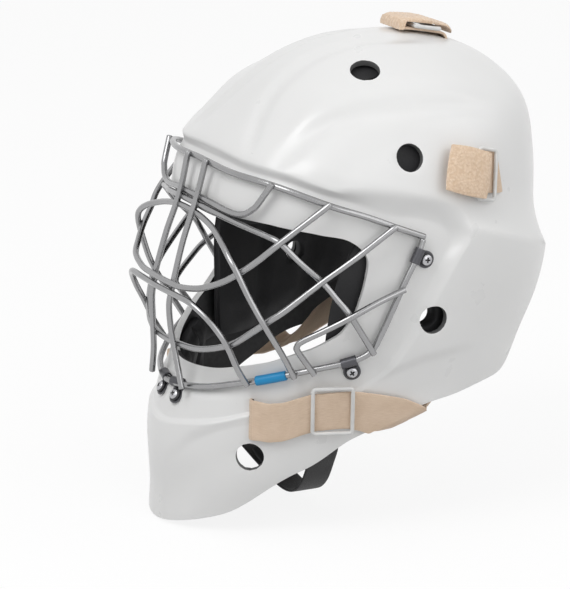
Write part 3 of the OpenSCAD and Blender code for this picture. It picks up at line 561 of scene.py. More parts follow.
def shell_paint(name="gloss_shell"):
    """White paint outside; the faces marked as inside show the bare dark laminate, and the walls of the openings,
    marked 0.85, get painted shade nearly as dark.
    """
    c = tuple(settings().shell_color)
    m = Finish(name, c, 0.32, **{"Coat Roughness": 0.18, "IOR": 1.5})
    where = m.place()
    inside = m.marked("inside")
    cloud = m.noise(where, 9, 3)
    grain = m.noise(where, 900, 2)
    tint = m.between(tuple(x * 0.965 for x in c), c, m.mapped(cloud, 0.35, 0.65))
    rough = m.mapped(m.noise(where, 45, 5), 0.3, 0.7, 0.27, 0.37)
    ripple = m.relief(m.noise(where, 130, 1), 0.05, 0.0004)
    bare = m.between((0.008, 0.008, 0.009), (0.02, 0.02, 0.021), m.mapped(m.noise(where, 260, 4), 0.35, 0.65))
    # The inside mark is 1 for bare laminate and 0.85 for painted shade on the walls of the openings.
    return m.use(Base_Color=m.between(tint, bare, inside), Roughness=rough + inside * 0.35,
                 Coat_Weight=0.25 - inside * 0.25, Normal=m.relief(grain, 0.04, 0.0002, ripple))


def steel_wire():
    """Bright drawn wire with a slight haze."""
    c = tuple(settings().wire_color)
    m = Finish("bright_wire", c, 0.24, 1.0)
    where = m.place()
    haze = m.noise(where, 70, 3)
    tint = m.between(tuple(x * 0.93 for x in c), c, m.mapped(haze, 0.3, 0.6))
    rough = m.mapped(m.noise(where, 240, 3), 0.3, 0.7, 0.19, 0.28)
    return m.use(Base_Color=tint, Roughness=rough, Normal=m.relief(m.noise(where, 1500, 2), 0.03, 0.00005))


def plain(name, color, rough, metallic=0.0, grain=900, shade=""):
    """A fine-grained finish for metal, plastic and coatings; faces marked with shade get painted shade, nearly black.
    """
    m = Finish(name, color, rough, metallic)
    where = m.place()
    tint = m.between(tuple(x * 0.82 for x in color), color, m.mapped(m.noise(where, grain / 12, 4), 0.3, 0.7))
    if shade:
        # Painted shade: the marked faces are darkened nearly to black.
        tint = m.between(tint, (0.01, 0.01, 0.01), m.marked(shade) * 0.93)
    level = m.mapped(m.noise(where, grain / 4, 3), 0.3, 0.7, max(0.05, rough - 0.07), min(1, rough + 0.07))
    return m.use(Base_Color=tint, Roughness=level, Normal=m.relief(m.noise(where, grain, 3), 0.15, 0.0002))


def foam():
    """Black closed-cell foam."""
    m = Finish("liner_foam", (0.012, 0.012, 0.013), 0.75)
    where = m.place()
    pores = m.add("ShaderNodeTexVoronoi", None, {"Vector": where, "Scale": 900.0})
    mottled = m.noise(where, 60, 5)
    tint = m.between((0.007, 0.007, 0.008), (0.02, 0.02, 0.022), m.mapped(mottled, 0.3, 0.7))
    return m.use(Base_Color=tint, Normal=m.relief(pores, 0.35, 0.0003),
                 Roughness=m.mapped(mottled, 0.3, 0.7, 0.62, 0.85))


def woven(name, color, ribs=1.0):
    """Elastic webbing: threads along it and fine ribs across, from the band's own UV map in millimetres."""
    m = Finish(name, color, 0.85, **{"Sheen Weight": 0.25, "Sheen Roughness": 0.5})
    uv = m.add("ShaderNodeUVMap", {"uv_map": "band"})
    long_way = m.add("ShaderNodeMapping", None, {"Vector": uv, "Scale": (0.22, 2.1, 1)})
    threads = m.noise(long_way, 1.0, 3, 0.55)
    cross = m.add("ShaderNodeTexWave", {"bands_direction": "X"}, {"Vector": uv, "Scale": 0.42 * ribs,
                                                                  "Distortion": 2.2, "Detail": 3.0,
                                                                  "Detail Scale": 2.2})
    fuzz = m.noise(uv, 3.0, 5, 0.65)
    weave = threads * 0.8 + cross * 0.14 + fuzz * 0.35
    cloud = m.noise(uv, 0.1, 3)
    shade = m.mapped(weave, 0.42, 0.86) * 0.75 + m.mapped(cloud, 0.35, 0.65, 0, 0.25)
    dark = tuple(x * y for x, y in zip(color, (0.84, 0.78, 0.72)))
    return m.use(Base_Color=m.between(dark, tuple(min(1, x * 1.05) for x in color), shade),
                 Normal=m.relief(weave, 0.45, 0.0005))


def plush(name, color):
    """Looped terry pile."""
    m = Finish(name, color, 0.95, **{"Sheen Weight": 0.5, "Sheen Roughness": 0.6})
    where = m.place()
    loops = m.add("ShaderNodeTexVoronoi", {"feature": "SMOOTH_F1"}, {"Vector": where, "Scale": 620.0,
                                                                     "Randomness": 1.0})
    fuzz = m.noise(where, 1400, 4, 0.6)
    shade = m.mapped(loops, 0.05, 0.55, 1, 0) * 0.7 + m.mapped(fuzz, 0.35, 0.7, 0, 0.3)
    low, high = tuple(x * y for x, y in zip(color, (0.84, 0.76, 0.66))), tuple(min(1, x * 1.08) for x in color)
    return m.use(Base_Color=m.between(low, high, shade),
                 Normal=m.relief(loops * -1 + fuzz * 0.4, 0.7, 0.0007))


# Shell
def shell_rows():
    """Shares across the sheet's two zones: window to recess, and recess to rim with fine rows where it begins."""
    seat = np.linspace(0, 1, 17)
    out = np.concatenate([np.linspace(0, 0.018, 7)[1:], 0.018 + 0.982 * np.linspace(0, 1, 97)[1:]])
    return seat, out


def shell_sheet(x, seat_part, out_part):
    """Map points and seat depth for loop places x; seat_part and out_part are the shares across the two zones."""
    w, r, o = (ring_at(loop_of(h), x) for h in (WIN, REC, RIM))
    q = w + (r - w) * seat_part[..., None] + (o - r) * out_part[..., None]
    n = len(loop_of(WIN))
    k = np.minimum(x, n - x)
    rise = np.where(out_part > 0, ease(0, look(k, FADE_X), out_part), 0)
    return q, (rise - 1) * (look(k, DEPTH_X) + relief(q))


# Openings of the left half by angle and share: top vent, temple vent and chin hole with their diameters, then the ear
# hole, and the slots with half their width and height
HOLES = [((61.8, 0.22), 19.0), ((80.6, 0.447), 18.0), ((30.1, 0.904), 18.0)]
EAR, EAR_R = (90.0, 0.7285), 9.0
TEMPLE_SLOT, CHEEK_SLOT, TOP_SLOT_Y = (117.5, 0.5), (30.8, 0.857), 60.0
SLOT_HALF = (1.3, 13.0)


def at_y(y, a):
    """Share from the crown at which the middle line passes Y; a is 0 for the front and 180 for the rear."""
    lo, hi = 0.01, 0.45
    for _ in range(24):
        mid = (lo + hi) / 2
        if (skin(polar(float(a), mid))[1] < y) == (a == 180):
            lo = mid
        else:
            hi = mid
    return mid


def hole_list():
    """Every opening as (frame, half width, half height); it is round where the halves are equal."""
    ear = skin(polar(*EAR))
    found = [(face_frame(*spot), d / 2, d / 2) for spot, d in HOLES]
    found.append((np.array([ear, [0, 1, 0], [0, 0, 1], [1, 0, 0]], float), EAR_R, EAR_R))
    found += [(face_frame(*spot), *SLOT_HALF) for spot in (TEMPLE_SLOT, CHEEK_SLOT)]
    found += [(sided(f), a, b) for f, a, b in found]
    top = face_frame(180, at_y(TOP_SLOT_Y, 180))
    found.append((np.array([top[0], top[2], top[1], top[3]]), *SLOT_HALF))
    return found


def cut_hole(bm, f, a, b):
    """Opens a round or long hole in a sheet and pulls its border on to the outline."""
    o, x, y, z = (Vector(v.tolist()) for v in f)
    o = o * MM

    def flat(v):
        d = v.co - o
        return Vector((d.dot(x), d.dot(y))) / MM

    def from_middle(p):
        """The nearest point of the opening's middle line, and the way from it."""
        c = Vector((0, max(a - b, min(b - a, p.y))))
        return c, p - c

    near = [v for v in bm.verts if (v.co - o).length < (b + 12) * MM and abs((v.co - o).dot(z)) < 14 * MM]
    doomed = {face for v in near if from_middle(flat(v))[1].length < a for face in v.link_faces}
    if a < b:
        probe = [Vector((0, k)) for k in np.linspace(a - b, b - a, 25)]
        for face in {face for v in near for face in v.link_faces}:
            xs, ys = zip(*(flat(w) for w in face.verts))
            if any(min(xs) <= p.x <= max(xs) and min(ys) <= p.y <= max(ys) for p in probe):
                doomed.add(face)
    border = {v for face in doomed for v in face.verts}
    bmesh.ops.delete(bm, geom=list(doomed), context="FACES")
    loose = [v for v in bm.verts if not v.link_faces]
    bmesh.ops.delete(bm, geom=loose, context="VERTS")
    rim = [v for v in border if v.is_valid and v.is_boundary]
    for v in rim:
        p = flat(v)
        c, d = from_middle(p)
        move = c + (d.normalized() if d.length > 1e-6 else Vector((1, 0))) * a - p
        v.co = v.co + (x * move.x + y * move.y) * MM
    ring = set(rim)
    for _ in range(2):
        ring |= {e.other_vert(v) for v in ring for e in v.link_edges}
    soft = [v for v in ring if not v.is_boundary]
    for _ in range(6):
        goal = {}
        for v in soft:
            mid = sum((e.other_vert(v).co for e in v.link_edges), Vector()) / len(v.link_edges)
            step = (mid - v.co) * 0.5
            goal[v] = v.co + step - v.normal * step.dot(v.normal)
        for v, c in goal.items():
            v.co = c


def build_shell():
    """The moulded shell: a sheet between the window and the rim, opened, thickened and rounded."""
    seat, out = shell_rows()
    n = len(loop_of(WIN))
    nu, nv = n * 12, len(seat) + len(out) - 1
    bm, co = grid_bm(nu, nv)
    i = np.round(co[:, 0] * nu)
    j = np.round(co[:, 1] * nv).astype(int)
    seat_part = np.concatenate([seat, np.ones(len(out))])[j]
    out_part = np.concatenate([np.zeros(len(seat)), out])[j]
    q, h = shell_sheet(i / 12 % n, seat_part, out_part)
    move_verts(bm, on(q, h) * MM)
    bmesh.ops.remove_doubles(bm, verts=[v for v in bm.verts if v.is_boundary], dist=1e-6)
    turned_out(bm, 2, 2)
    for hole in hole_list():
        cut_hole(bm, *hole)
    bm.normal_update()
    thicken(bm, WALL * MM)
    round_edges(bm, 0.0007, 1.1, 3)
    bm.normal_update()
    laminate_and_hole_shade = bm.faces.layers.float.new("inside")
    holes = [(Vector(f[0].tolist()) * MM, (max(a, b) + 1.2) * MM) for f, a, b in hole_list()]
    for face in bm.faces:
        c = face.calc_center_median()
        facing = face.normal.dot((c - Vector((0, 0, min(c.z, 0.06)))).normalized())
        face[laminate_and_hole_shade] = 1.0 if facing < -0.35 else 0.0
        # Painted shade: the walls of the openings are darkened nearly to the bare inside.
        if abs(facing) < 0.6 and any((c - o).length < r for o, r in holes):
            face[laminate_and_hole_shade] = 0.85
    return mesh_from(bm, "moulded_shell")


# Cage: the two frame wires by angle and share, the others by their bends in X, Y and Z
TOP_AT = [[0, 0.483], [20, 0.487], [38, 0.497], [54, 0.529], [65, 0.552], [75, 0.575], [85.6, 0.597]]
SIDE_AT = [[85, 0.6005], [83, 0.627], [78.2, 0.671], [74.7, 0.707], [71.4, 0.74], [68, 0.765], [61.4, 0.778],
           [48.7, 0.79], [37, 0.803], [27.7, 0.813], [14.5, 0.827], [0, 0.833]]
BAR = [[12, -117.6, 68.2], [12.7, -126.5, 44.3], [13.6, -133.6, 20], [13.3, -135, 13], [13, -136.8, 3.3],
       [14, -136, -12.9], [17.5, -134, -31.9]]
LOOP = [[0, -114.3, 70.6], [12, -114, 70.5], [27, -112.4, 69.3], [40.3, -110.4, 67.8], [51, -108.2, 67.3],
        [59.7, -106.1, 69.2], [65, -104, 72.5], [68.9, -101.9, 76.7]]
EYE = [[0, -116, 66.2], [13.1, -115.6, 66.1], [30, -113.2, 64.6], [45, -109.9, 62.8], [61.5, -104, 60],
       [75, -99.5, 58], [85.3, -94.3, 54.6], [91, -84, 43], [93.8, -70.3, 29.8], [98.5, -62, 18.5],
       [102.9, -55.1, 8.2]]
INNER = [[0, -118, 61.6], [12, -118, 61.3], [26, -118, 59.6], [40.5, -118.4, 56.4], [57, -120.4, 51],
         [68, -120.8, 44.5], [74.2, -118.6, 36.6], [79, -112.8, 21.1], [83.7, -105, 4.1], [84.6, -92.5, -17.2]]
UPPER = [[0, -137.6, 18.4], [13.9, -137.3, 18.5], [30, -135.9, 18.8], [48.8, -131.9, 22.2], [62.1, -123.9, 28],
         [71.4, -116.2, 35.2], [79, -107.5, 43.5], [87.7, -96.5, 55.4]]
LOWER = [[0, -132.2, -22.5], [15.4, -131.8, -21.8], [37.8, -127, -20.4], [61, -117.6, -13], [75.4, -108.6, -2],
         [81.2, -102.5, 4.3], [88, -93, 12.5], [97.2, -72.1, 30.3], [104.5, -51, 46]]
NOSE = [[0, -138.8, 13], [13.3, -138.4, 13], [30, -138.2, 13.2], [44, -136.6, 12.2], [55.5, -131.4, 5.4],
        [61.8, -125.5, -4], [63.3, -120.2, -13.4], [63, -113.5, -28]]
CHEEK = [[109, -38, 17], [106, -56.8, 8.2], [98.6, -71.5, -0.4], [91.5, -82.5, -7.2], [89.6, -85.2, -10.6],
         [89.4, -84.2, -14.6]]


def lift_end(a, t, h):
    """Where a wire lies over the plain form, h higher than the frame wires."""
    q = polar(np.asarray(a, float), np.asarray(t, float))
    return skin(q) + out_of(q) * (WIRE_UP + h)


def on_frame(p):
    p = np.array(p, float)
    return lift_end(p[:, 0], p[:, 1], 0)


def both(p):
    """A path that starts on the middle, led on to the right side."""
    p = np.asarray(p, float)
    return np.concatenate([sided(p)[:0:-1], p])


def fine(p, k):
    """A smooth path with k steps between the points."""
    return curve(p, np.arange((len(p) - 1) * k + 1) / k)


def wire_paths():
    touch = WIRE - WELD
    side = on_frame(SIDE_AT)

    def end(a, t):
        return lift_end(a, t, touch)

    def bent(mid, a, t):
        return fine(both(np.vstack([mid, end(a, t)])), 10)

    bar = fine(np.vstack([end(6.8, 0.4815), BAR, end(9.6, 0.836)]), 10)
    cheek = fine(np.vstack([end(78, 0.675), CHEEK, end(50, 0.793)]), 10)
    return {
        "frame_wire_top": fine(both(on_frame(TOP_AT)), 10),
        "frame_wire_side": fine(np.concatenate([side, sided(side)[-2::-1]]), 10),
        "center_bar_left": bar, "center_bar_right": sided(bar),
        "brow_loop": bent(LOOP, 37.3, 0.4945), "eye_arch": bent(EYE, 68.8, 0.766),
        "inner_arch": bent(INNER, 44, 0.799), "cross_wire_upper": bent(UPPER, 54.1, 0.5255),
        "cross_wire_lower": bent(LOWER, 74.6, 0.5715), "nose_arch": bent(NOSE, 29.8, 0.815),
        "cheek_wire_left": cheek, "cheek_wire_right": sided(cheek),
    }


# Clips: their places along the side wire, and the heights of the seat's floor and of the clip on it under the wire
CLIP_AT = [1.0, 6.05, 10.72]
FLOOR = -WIRE_UP - SEAT_IN
CLIP_TOP = FLOOR + SEAT + CLIP_T
# Sleeve: its middle along the side wire, its length and diameter
SLEEVE_AT, SLEEVE_LONG, SLEEVE_D = 8.1, 20, 6.2


def clip_frame(c):
    """A frame on the side wire, with X away from the window."""
    half, side_q = on_frame(SIDE_AT), polar(np.array(SIDE_AT)[:, 0], np.array(SIDE_AT)[:, 1])
    z0 = out_of(curve(side_q, c) * 1.0095)
    d = unit(curve(half, c - 0.05) - curve(half, c + 0.05))
    z = unit(z0 - d * (z0 @ d))
    x = np.cross(d, z)
    return np.array([curve(half, c), x, np.cross(z, x), z])


def clip_band(f):
    """A strap that wraps the wire, comes down beside it and ends in a round eye under the screw."""
    r, top = WIRE / 2 + 0.3 + CLIP_T, CLIP_TOP
    turn = np.radians(np.linspace(-70, -360, 37))
    path = [[r * math.cos(g), r * math.sin(g)] for g in turn]
    path += [[r, z] for z in np.linspace(-0.4, top + 0.7, 5)]
    path += [[r + 0.7 - 0.7 * math.cos(g), top + 0.7 - 0.7 * math.sin(g)] for g in np.radians([22, 45, 68])]
    path += [[x, top] for x in np.linspace(r + 0.7, SCREW_X + CLIP_W / 2 - 0.05, 26)]
    path = np.array(path)
    nu, nv = len(path) - 1, 12
    bm, co = grid_bm(nu, nv)
    i, v = np.round(co[:, 0] * nu).astype(int), co[:, 1] * 2 - 1
    x = path[i, 0]
    eye = np.sqrt(np.maximum(0.02, (CLIP_W / 2) ** 2 - (x - SCREW_X) ** 2))
    w = np.where(x > SCREW_X, eye, CLIP_W / 2 - 0.5)
    w = np.where((x > SCREW_X - 3.4) & (x <= SCREW_X), np.maximum(CLIP_W / 2 - 0.5, eye), w)
    move_verts(bm, np.stack([x, v * w, path[i, 1]], -1) * MM)
    turned_out(bm, 0, 2)
    thicken(bm, CLIP_T * MM)
    bmesh.ops.recalc_face_normals(bm, faces=list(bm.faces))
    round_edges(bm, 0.00022, 1.0, 2)
    to_frame(bm, f)
    return bm


def cup_washer(f):
    """A dark cup round the screw's head."""
    low, bore, outer, inner = CLIP_TOP + 0.1, 2.2, HEAD_D / 2 + 0.9, HEAD_D / 2 + 0.15
    bm = lathe([(bore, low), (outer, low), (outer, low + 1), (outer - 0.35, low + 1.4), (inner, low + 1.4),
                (inner, low + 0.7), (bore, low + 0.7), (bore, low)], 40)
    shift(bm, SCREW_X, 0, 0)
    to_frame(bm, f)
    return bm


def screw_master():
    """A pan head screw with a cross recess, its seat at the origin; the recess is marked for painted shade, nearly
    black.
    """
    r = HEAD_D / 2
    arc = [(r * math.cos(g), 0.9 + 1.4 * math.sin(g)) for g in np.linspace(0, math.pi / 2, 9)][:-1]
    body = mesh_from(lathe([(0, 0), (r, 0)] + arc + [(0, 2.3)], 40), "screw_head")
    for turn in (0.35, 0.35 + math.pi / 2):
        bar = box_bm(5.2, 1.25, 3.6)
        bmesh.ops.scale(bar, vec=(0.45, 0.8, 1), verts=[v for v in bar.verts if v.co.z < 0])
        bmesh.ops.rotate(bar, cent=(0, 0, 0), matrix=Matrix.Rotation(turn, 3, "Z"), verts=list(bar.verts))
        shift(bar, 0, 0, 2.4)
        tool = mesh_from(bar, "recess_cut")
        cut_out(body, [tool])
        bpy.data.objects.remove(tool)
    bm = bmesh.new()
    bm.from_mesh(body.data)
    deep = bm.faces.layers.float.new("recess")
    for face in bm.faces:
        c = face.calc_center_median() / MM
        far = math.hypot(c.x, c.y)
        # Faces down in the cross recess are marked for painted shade.
        face[deep] = 1.0 if far < 2.7 and c.z < 0.8 + 1.4 * math.sqrt(1 - (far / r) ** 2) else 0.0
    bm.to_mesh(body.data)
    bm.free()
    return body


def screw_at(master, f):
    """The head and the shank of one screw."""
    head = bmesh.new()
    head.from_mesh(master.data)
    shank = lathe([(0, -4), (2, -4), (2, 0.2), (0, 0.2)], 24)
    for part in (head, shank):
        shift(part, SCREW_X, 0, CLIP_TOP + 0.85)
        to_frame(part, f)
    return [head, shank]


# Liner
def pad_k(g, lines):
    """Share of its full thickness that a pad has over its face, with pressed lines across it."""
    k = (0.42 + 0.58 * (1 - g[:, 0] ** 6) * (1 - g[:, 1] ** 6)) * (1 - 0.06 * (g**2).sum(1))
    for line in lines:
        k = k * (1 - 0.3 * bump((g[:, 0] - line) / 0.15))
    return k


def pad_piece(name, corners, depth, flat=False, lines=(-0.35, 0.35), bores=()):
    """A foam pad between four corners in angle and share, or straight on the map where flat is set."""
    bm, co = block_bm(30, 3)
    side = np.abs(co[:, :2]).max(1) > 0.499
    g = co[:, :2] * 2
    up = co[:, 2] + 0.5
    squeeze = 1 - 0.03 * (1 - 4 * (up - 0.5) ** 2) * side
    r = round_ab(g, 0.28) * squeeze[:, None]
    c = np.array(corners, float)
    u, v = (r[:, :1] + 1) / 2, (r[:, 1:] + 1) / 2
    p = (c[0] * (1 - u) + c[1] * u) * (1 - v) + (c[3] * (1 - u) + c[2] * u) * v
    q = p if flat else polar(p[:, 0], p[:, 1])
    move_verts(bm, under(q, depth + PAD_T * pad_k(g, lines) * up) * MM)
    obj = rounded(bm, name, 0.0018, 0.8, 3)
    if bores:
        cut_out(obj, bores)
    return obj


BROW = [[-46, 0.4], [46, 0.4], [46, 0.585], [-46, 0.585]]
CROWN = [[-0.21, 0.1], [0.21, 0.1], [0.21, -0.21], [-0.21, -0.21]]
TEMPLE = [[52, 0.36], [109, 0.36], [110, 0.495], [62, 0.475]]
CHEEK_PAD = [[64, 0.55], [131, 0.55], [118, 0.79], [46, 0.86]]
JAW_PAD = [[9, 0.815], [44, 0.786], [40, 0.868], [9, 0.884]]
IN_FLAT = WALL + PAD_GAP
# Radii of what is cut out of the pads at the ear holes and at the nuts
EAR_BORE, NUT_ROOM = 6.8, 5.5


# Back plate
def back_at(a, b, h):
    """Points h further in than the back plate's outer face; a and b run from -1 to 1 across it and down it."""
    a, b = np.asarray(a, float), np.asarray(b, float)
    q = polar(180 - 31 * (1 - 0.16 * b * b) * a, 0.684 + 0.141 * b * (1 - 0.1 * a * a))
    return skin(q) - out_of(q) * (PLATE_IN + np.asarray(h, float))[..., None]


# Straps
def rail(p, side=0.0):
    """A path through points in angle, share and height; side moves it down the face."""
    p = np.array(p, float)
    x = np.linspace(0, len(p) - 1, (len(p) - 1) * 6 + 1)
    a, t, h = (np.interp(x, np.arange(len(p)), p[:, k]) for k in range(3))
    return at(a, t + side, h)


def paired_rails(a, b):
    """Two rails in even steps of their middle line, with their bends rounded."""
    run = run_of((a + b) / 2)
    x = np.linspace(0, run[-1], int(run[-1]) + 1)
    rails = []
    for p in (a, b):
        q = np.stack([np.interp(x, run, p[:, k]) for k in range(3)], -1)
        for _ in range(4):
            q[1:-1] = (q[:-2] + 2 * q[1:-1] + q[2:]) / 4
        rails.append(q)
    return rails


def in_slot(f, x, y):
    """The two points of a rail that runs through a slot, from behind the wall to its face."""
    return np.array([place(f, np.array([x, y, z])) for z in (THROUGH, LIE)])


def drop(t, mm):
    """Share that a way of mm down the face takes up near t."""
    return mm / (2 * (Z_TOP - Z_BOT) * t)


def centred_band(name, a, b, t, wave=0.0):
    """A woven band between two rails; its UV map runs in millimetres along and across it."""
    a, b = paired_rails(a, b)
    n = len(a) - 1
    bm, co = grid_bm(n, 14)
    i, v = np.round(co[:, 0] * n).astype(int), co[:, 1]
    mid = (a + b) / 2
    lift = unit(np.cross(np.gradient(mid, axis=0), a - b))
    run = run_of(mid)
    width = np.linalg.norm(a - b, axis=1)
    edge = np.abs(2 * v - 1) ** 6
    p = a[i] * (1 - v[:, None]) + b[i] * v[:, None]
    if wave:
        bend = np.array([noise.noise(Vector((r * 0.045 + 3.1, s * 0.9, 3.1))) for r, s in zip(run[i], v)])
        p = p + lift[i] * (np.abs(bend) * wave)[:, None]
    p = p + lift[i] * (t * 0.5 - 0.1 * edge * t)[:, None]
    move_verts(bm, p * MM)
    layer = bm.loops.layers.uv.new("band")
    for face in bm.faces:
        for loop in face.loops:
            m = loop.vert.index
            loop[layer].uv = (run[i[m]], v[m] * width[i[m]])
    bm.normal_update()
    thicken(bm, t * 0.92 * MM)
    return rounded(bm, name, t * 0.22 * MM, 1.0, 2)


# Cheek strap by angle, share and height: its run on the face, its two edges further back and where they turn inward
CHEEK_LINE = [[CHEEK_SLOT[0] + 2, CHEEK_SLOT[1], LIE], [36, 0.859, LIE], [40, 0.857, LIE], [45, 0.85, LIE],
              [50, 0.844, LIE], [56, 0.842, LIE]]
CHEEK_UP = [[63, 0.843, LIE], [72, 0.8495, LIE], [82, 0.859, LIE]]
CHEEK_LOW = [[61, 0.842, LIE], [65, 0.846, LIE], [68, 0.85, LIE]]
WRAP_UP = [[90, 0.848, 0.8], [91, 0.854, -WALL / 2], [94, 0.845, THROUGH], [104, 0.815, THROUGH - 2]]
WRAP_LOW = [[71, 0.87, 1.2], [77, 0.87, -1.5], [84, 0.868, -5.5], [92, 0.862, THROUGH - 2]]


def cheek_rails():
    """Both edges of the left cheek strap, from its slot to the back plate."""
    m, hw, f = drop(0.85, STRAP_W / 2), STRAP_W / 2, face_frame(*CHEEK_SLOT)
    a = np.vstack([in_slot(f, STRAP_T / 2, hw), rail(CHEEK_LINE, -m), rail(CHEEK_UP, -m), rail(WRAP_UP),
                   back_at(1.02, 0.04, 7)[None]])
    b = np.vstack([in_slot(f, STRAP_T / 2, -hw), rail(CHEEK_LINE, m), rail(CHEEK_LOW, m), rail(WRAP_LOW),
                   back_at(0.97, 0.46, 7)[None]])
    return a, b


def temple_rails():
    """Both edges of the left temple strap, from the back plate to its end."""
    m, hw, f = drop(0.5, STRAP_W / 2), STRAP_W / 2, face_frame(*TEMPLE_SLOT)
    inner = [[130, 0.53, THROUGH - 3]]
    outer = [[TEMPLE_SLOT[0] - 1.6, 0.499, LIE], [108, 0.492, LIE], [99, 0.485, LIE]]
    a = np.vstack([back_at(1, -0.9, 5)[None], rail(inner, -m), in_slot(f, -STRAP_T / 2, hw), rail(outer, -m)])
    b = np.vstack([back_at(1.02, -0.48, 5)[None], rail(inner, m), in_slot(f, -STRAP_T / 2, -hw), rail(outer, m)])
    return b, a


def crown_pt(y, h):
    """The point h over the crown's middle line at Y."""
    a = 180 if y > POLE_Y else 0
    return on(polar(float(a), at_y(y, a)), np.array(float(h)))


def top_line():
    """The middle of the top strap, from the back plate to its end."""
    y0 = TOP_SLOT_Y - STRAP_T / 2
    crown = [[y0, THROUGH], [y0, 0], [y0 - 2.4, LIE], [50, LIE - 0.4], [45, LIE - 0.3], [40, LIE - 0.4],
             [35, LIE - 0.1], [29.4, LIE]]
    rear = rail([[180, 0.43, -PLATE_IN - PLATE_T - 4.5], [180, 0.36, THROUGH - 4]])
    return np.vstack([back_at(0, -0.92, PLATE_T + STRAP_T + 0.8)[None], rear, [crown_pt(*v) for v in crown]])


# Where the straps leave the shell and where they reach the back plate
PLATE_ENDS = {"cheek": (rail([[100, 0.827, THROUGH - 1]])[0], back_at(1, 0.25, 7)),
              "temple": (rail([[127, 0.525, THROUGH - 2]])[0], back_at(1, -0.7, 5)),
              "top": (rail([[180, 0.34, THROUGH - 3]])[0], back_at(0, -0.9, PLATE_T + STRAP_T))}


def crown_frame(y, d):
    """A frame on the top strap, with Y along d."""
    x = np.array([1.0, 0, 0])
    return np.array([crown_pt(y, STRAP_T + LIE), x, d, np.cross(x, d)])


def slider_piece(name, f, w, h, gap):
    """A closed wire slider, w by h with round corners, the gap over the frame f."""
    r, x, y = 2.2, w / 2 - 2.2, h / 2 - 2.2
    flat = [[cx + r * math.cos(math.radians(c + g)), cy + r * math.sin(math.radians(c + g)), 0]
            for cx, cy, c in ((x, y, 0), (-x, y, 90), (-x, -y, 180), (x, -y, 270)) for g in range(0, 91, 10)]
    pts = place(f, np.array(flat) + [0, 0, SLIDE_D / 2 + gap])
    return swept(name, pts * MM, SLIDE_D * MM, closed=True)


def napped(p, up, seed, deep=0.35):
    """Raises the points of a plush face by a fine uneven nap."""
    nap = np.array([noise.fractal(Vector(v.tolist()) * 1.3 + Vector((seed, 0, 0)), 0.8, 2.0, 3) for v in p])
    return (nap * deep * np.clip(up * 1.6, 0, 1))[:, None]


def soft_tab(name, f, w, h, t, lift, seed):
    """The folded plush end of a strap."""
    bm, co = block_bm(60, 2)
    g = co[:, :2] * 2
    up = co[:, 2] + 0.5
    r = round_ab(g, 0.12)
    body = t * (0.55 + 0.45 * (1 - g[:, 0] ** 4) * (1 - g[:, 1] ** 4))
    p = place(f, np.stack([w / 2 * r[:, 0], h / 2 * r[:, 1], lift - 1.1 * g[:, 0] ** 2 + body * up], -1))
    move_verts(bm, (p + f[3] * napped(p, up - 0.3, seed)) * MM)
    return rounded(bm, name, 0.0008, 0.9, 3)


# Sliders and tab of the left side by angle, share and turn, the top slider by Y
CHEEK_SLIDER, TEMPLE_SLIDER, TEMPLE_TAB = (55.6, 0.842, 0), (110, 0.5, -14), (101.8, 0.489, -18)
TOP_SLIDER_Y = 44.5
TAB_UP = SLIDE_D + SLACK + 0.4
# The top fold over Y: the heights of its two faces over the crown, and half its width
FOLD_LOW = [[25.5, 1.6], [28.8, 1.6], [29.6, 7], [38, 6.7], [50, 6.8], [59, 6.9], [62, 5.6], [66, 3.2]]
FOLD_HIGH = [[25.5, 5.5], [26.6, 8], [31, 9.3], [44, 9.7], [49, 9.5], [54, 8.9], [60, 8.5], [66, 5.2]]
FOLD_HALF = [[25.5, 13.2], [30, 14], [48, 14], [53, 12.5], [58, 12], [62, 11], [64.5, 9], [66, 6]]


def top_fold(name):
    """The top strap's end: folded down in front of the slider, lying on it and trailing behind it."""
    bm, co = block_bm(64, 3)
    k, up = co[:, 0] * 2, co[:, 2] + 0.5
    y = 25.5 + 40.5 * (co[:, 1] + 0.5)
    places = np.linspace(25.5, 66, 82)
    base = np.array([crown_pt(v, 0.0) for v in places])
    lift = np.array([crown_pt(v, 1.0) for v in places]) - base
    low, high = look(y, FOLD_LOW), look(y, FOLD_HIGH) - 1.2 * np.abs(k) ** 6
    h = low + (high - low) * up
    p, n = (np.stack([np.interp(y, places, v[:, c]) for c in range(3)], -1) for v in (base, lift))
    p = p + n * h[:, None]
    p[:, 0] += k * look(y, FOLD_HALF)
    nap = napped(p, np.where(y < 29.2, 1, up - 0.3), 5.0, 0.45)
    move_verts(bm, (p + n * nap) * MM)
    return rounded(bm, name, 0.0011, 0.9, 3)


# Sling: it hangs lower on the left, as shares of its half width and of its drop
SNAP = np.array([72.1375, -57.0, -80.0])
SLING_WAY = [[-1, 0.15], [-1, 0], [-1, -0.15], [-0.93, -0.3], [-0.8, -0.46], [-0.58, -0.62], [-0.29, -0.75],
             [0, -0.86], [0.25, -0.95], [0.42, -0.98], [0.57, -0.96], [0.7, -0.87], [0.82, -0.68], [0.92, -0.4],
             [1, -0.15], [1, 0], [1, 0.15]]


# Stage: lamps as name, place in metres, size in metres and power in watts; the camera that took the photo
LAMPS = (("key", (0.5, -1.45, 1.7), 1.3, 21), ("fill", (2.1, 0.4, 0.9), 1.6, 10), ("rear", (1.0, 1.7, 1.4), 1.5, 7.5))
CAMERA_AT, AZIMUTH, ELEVATION = (1.86643, -0.97467, 0.5621), 63.623, 15.191
FOCAL_PX, PHOTO_W, SENSOR = 3357, 570, 36
FLOOR_GREY, FLOOR_GLOW, FLOOR_R, FLOOR_GAP = (0.55, 0.55, 0.55), 0.87, 3.0, 0.001
WHITE = (1, 1, 1, 1)


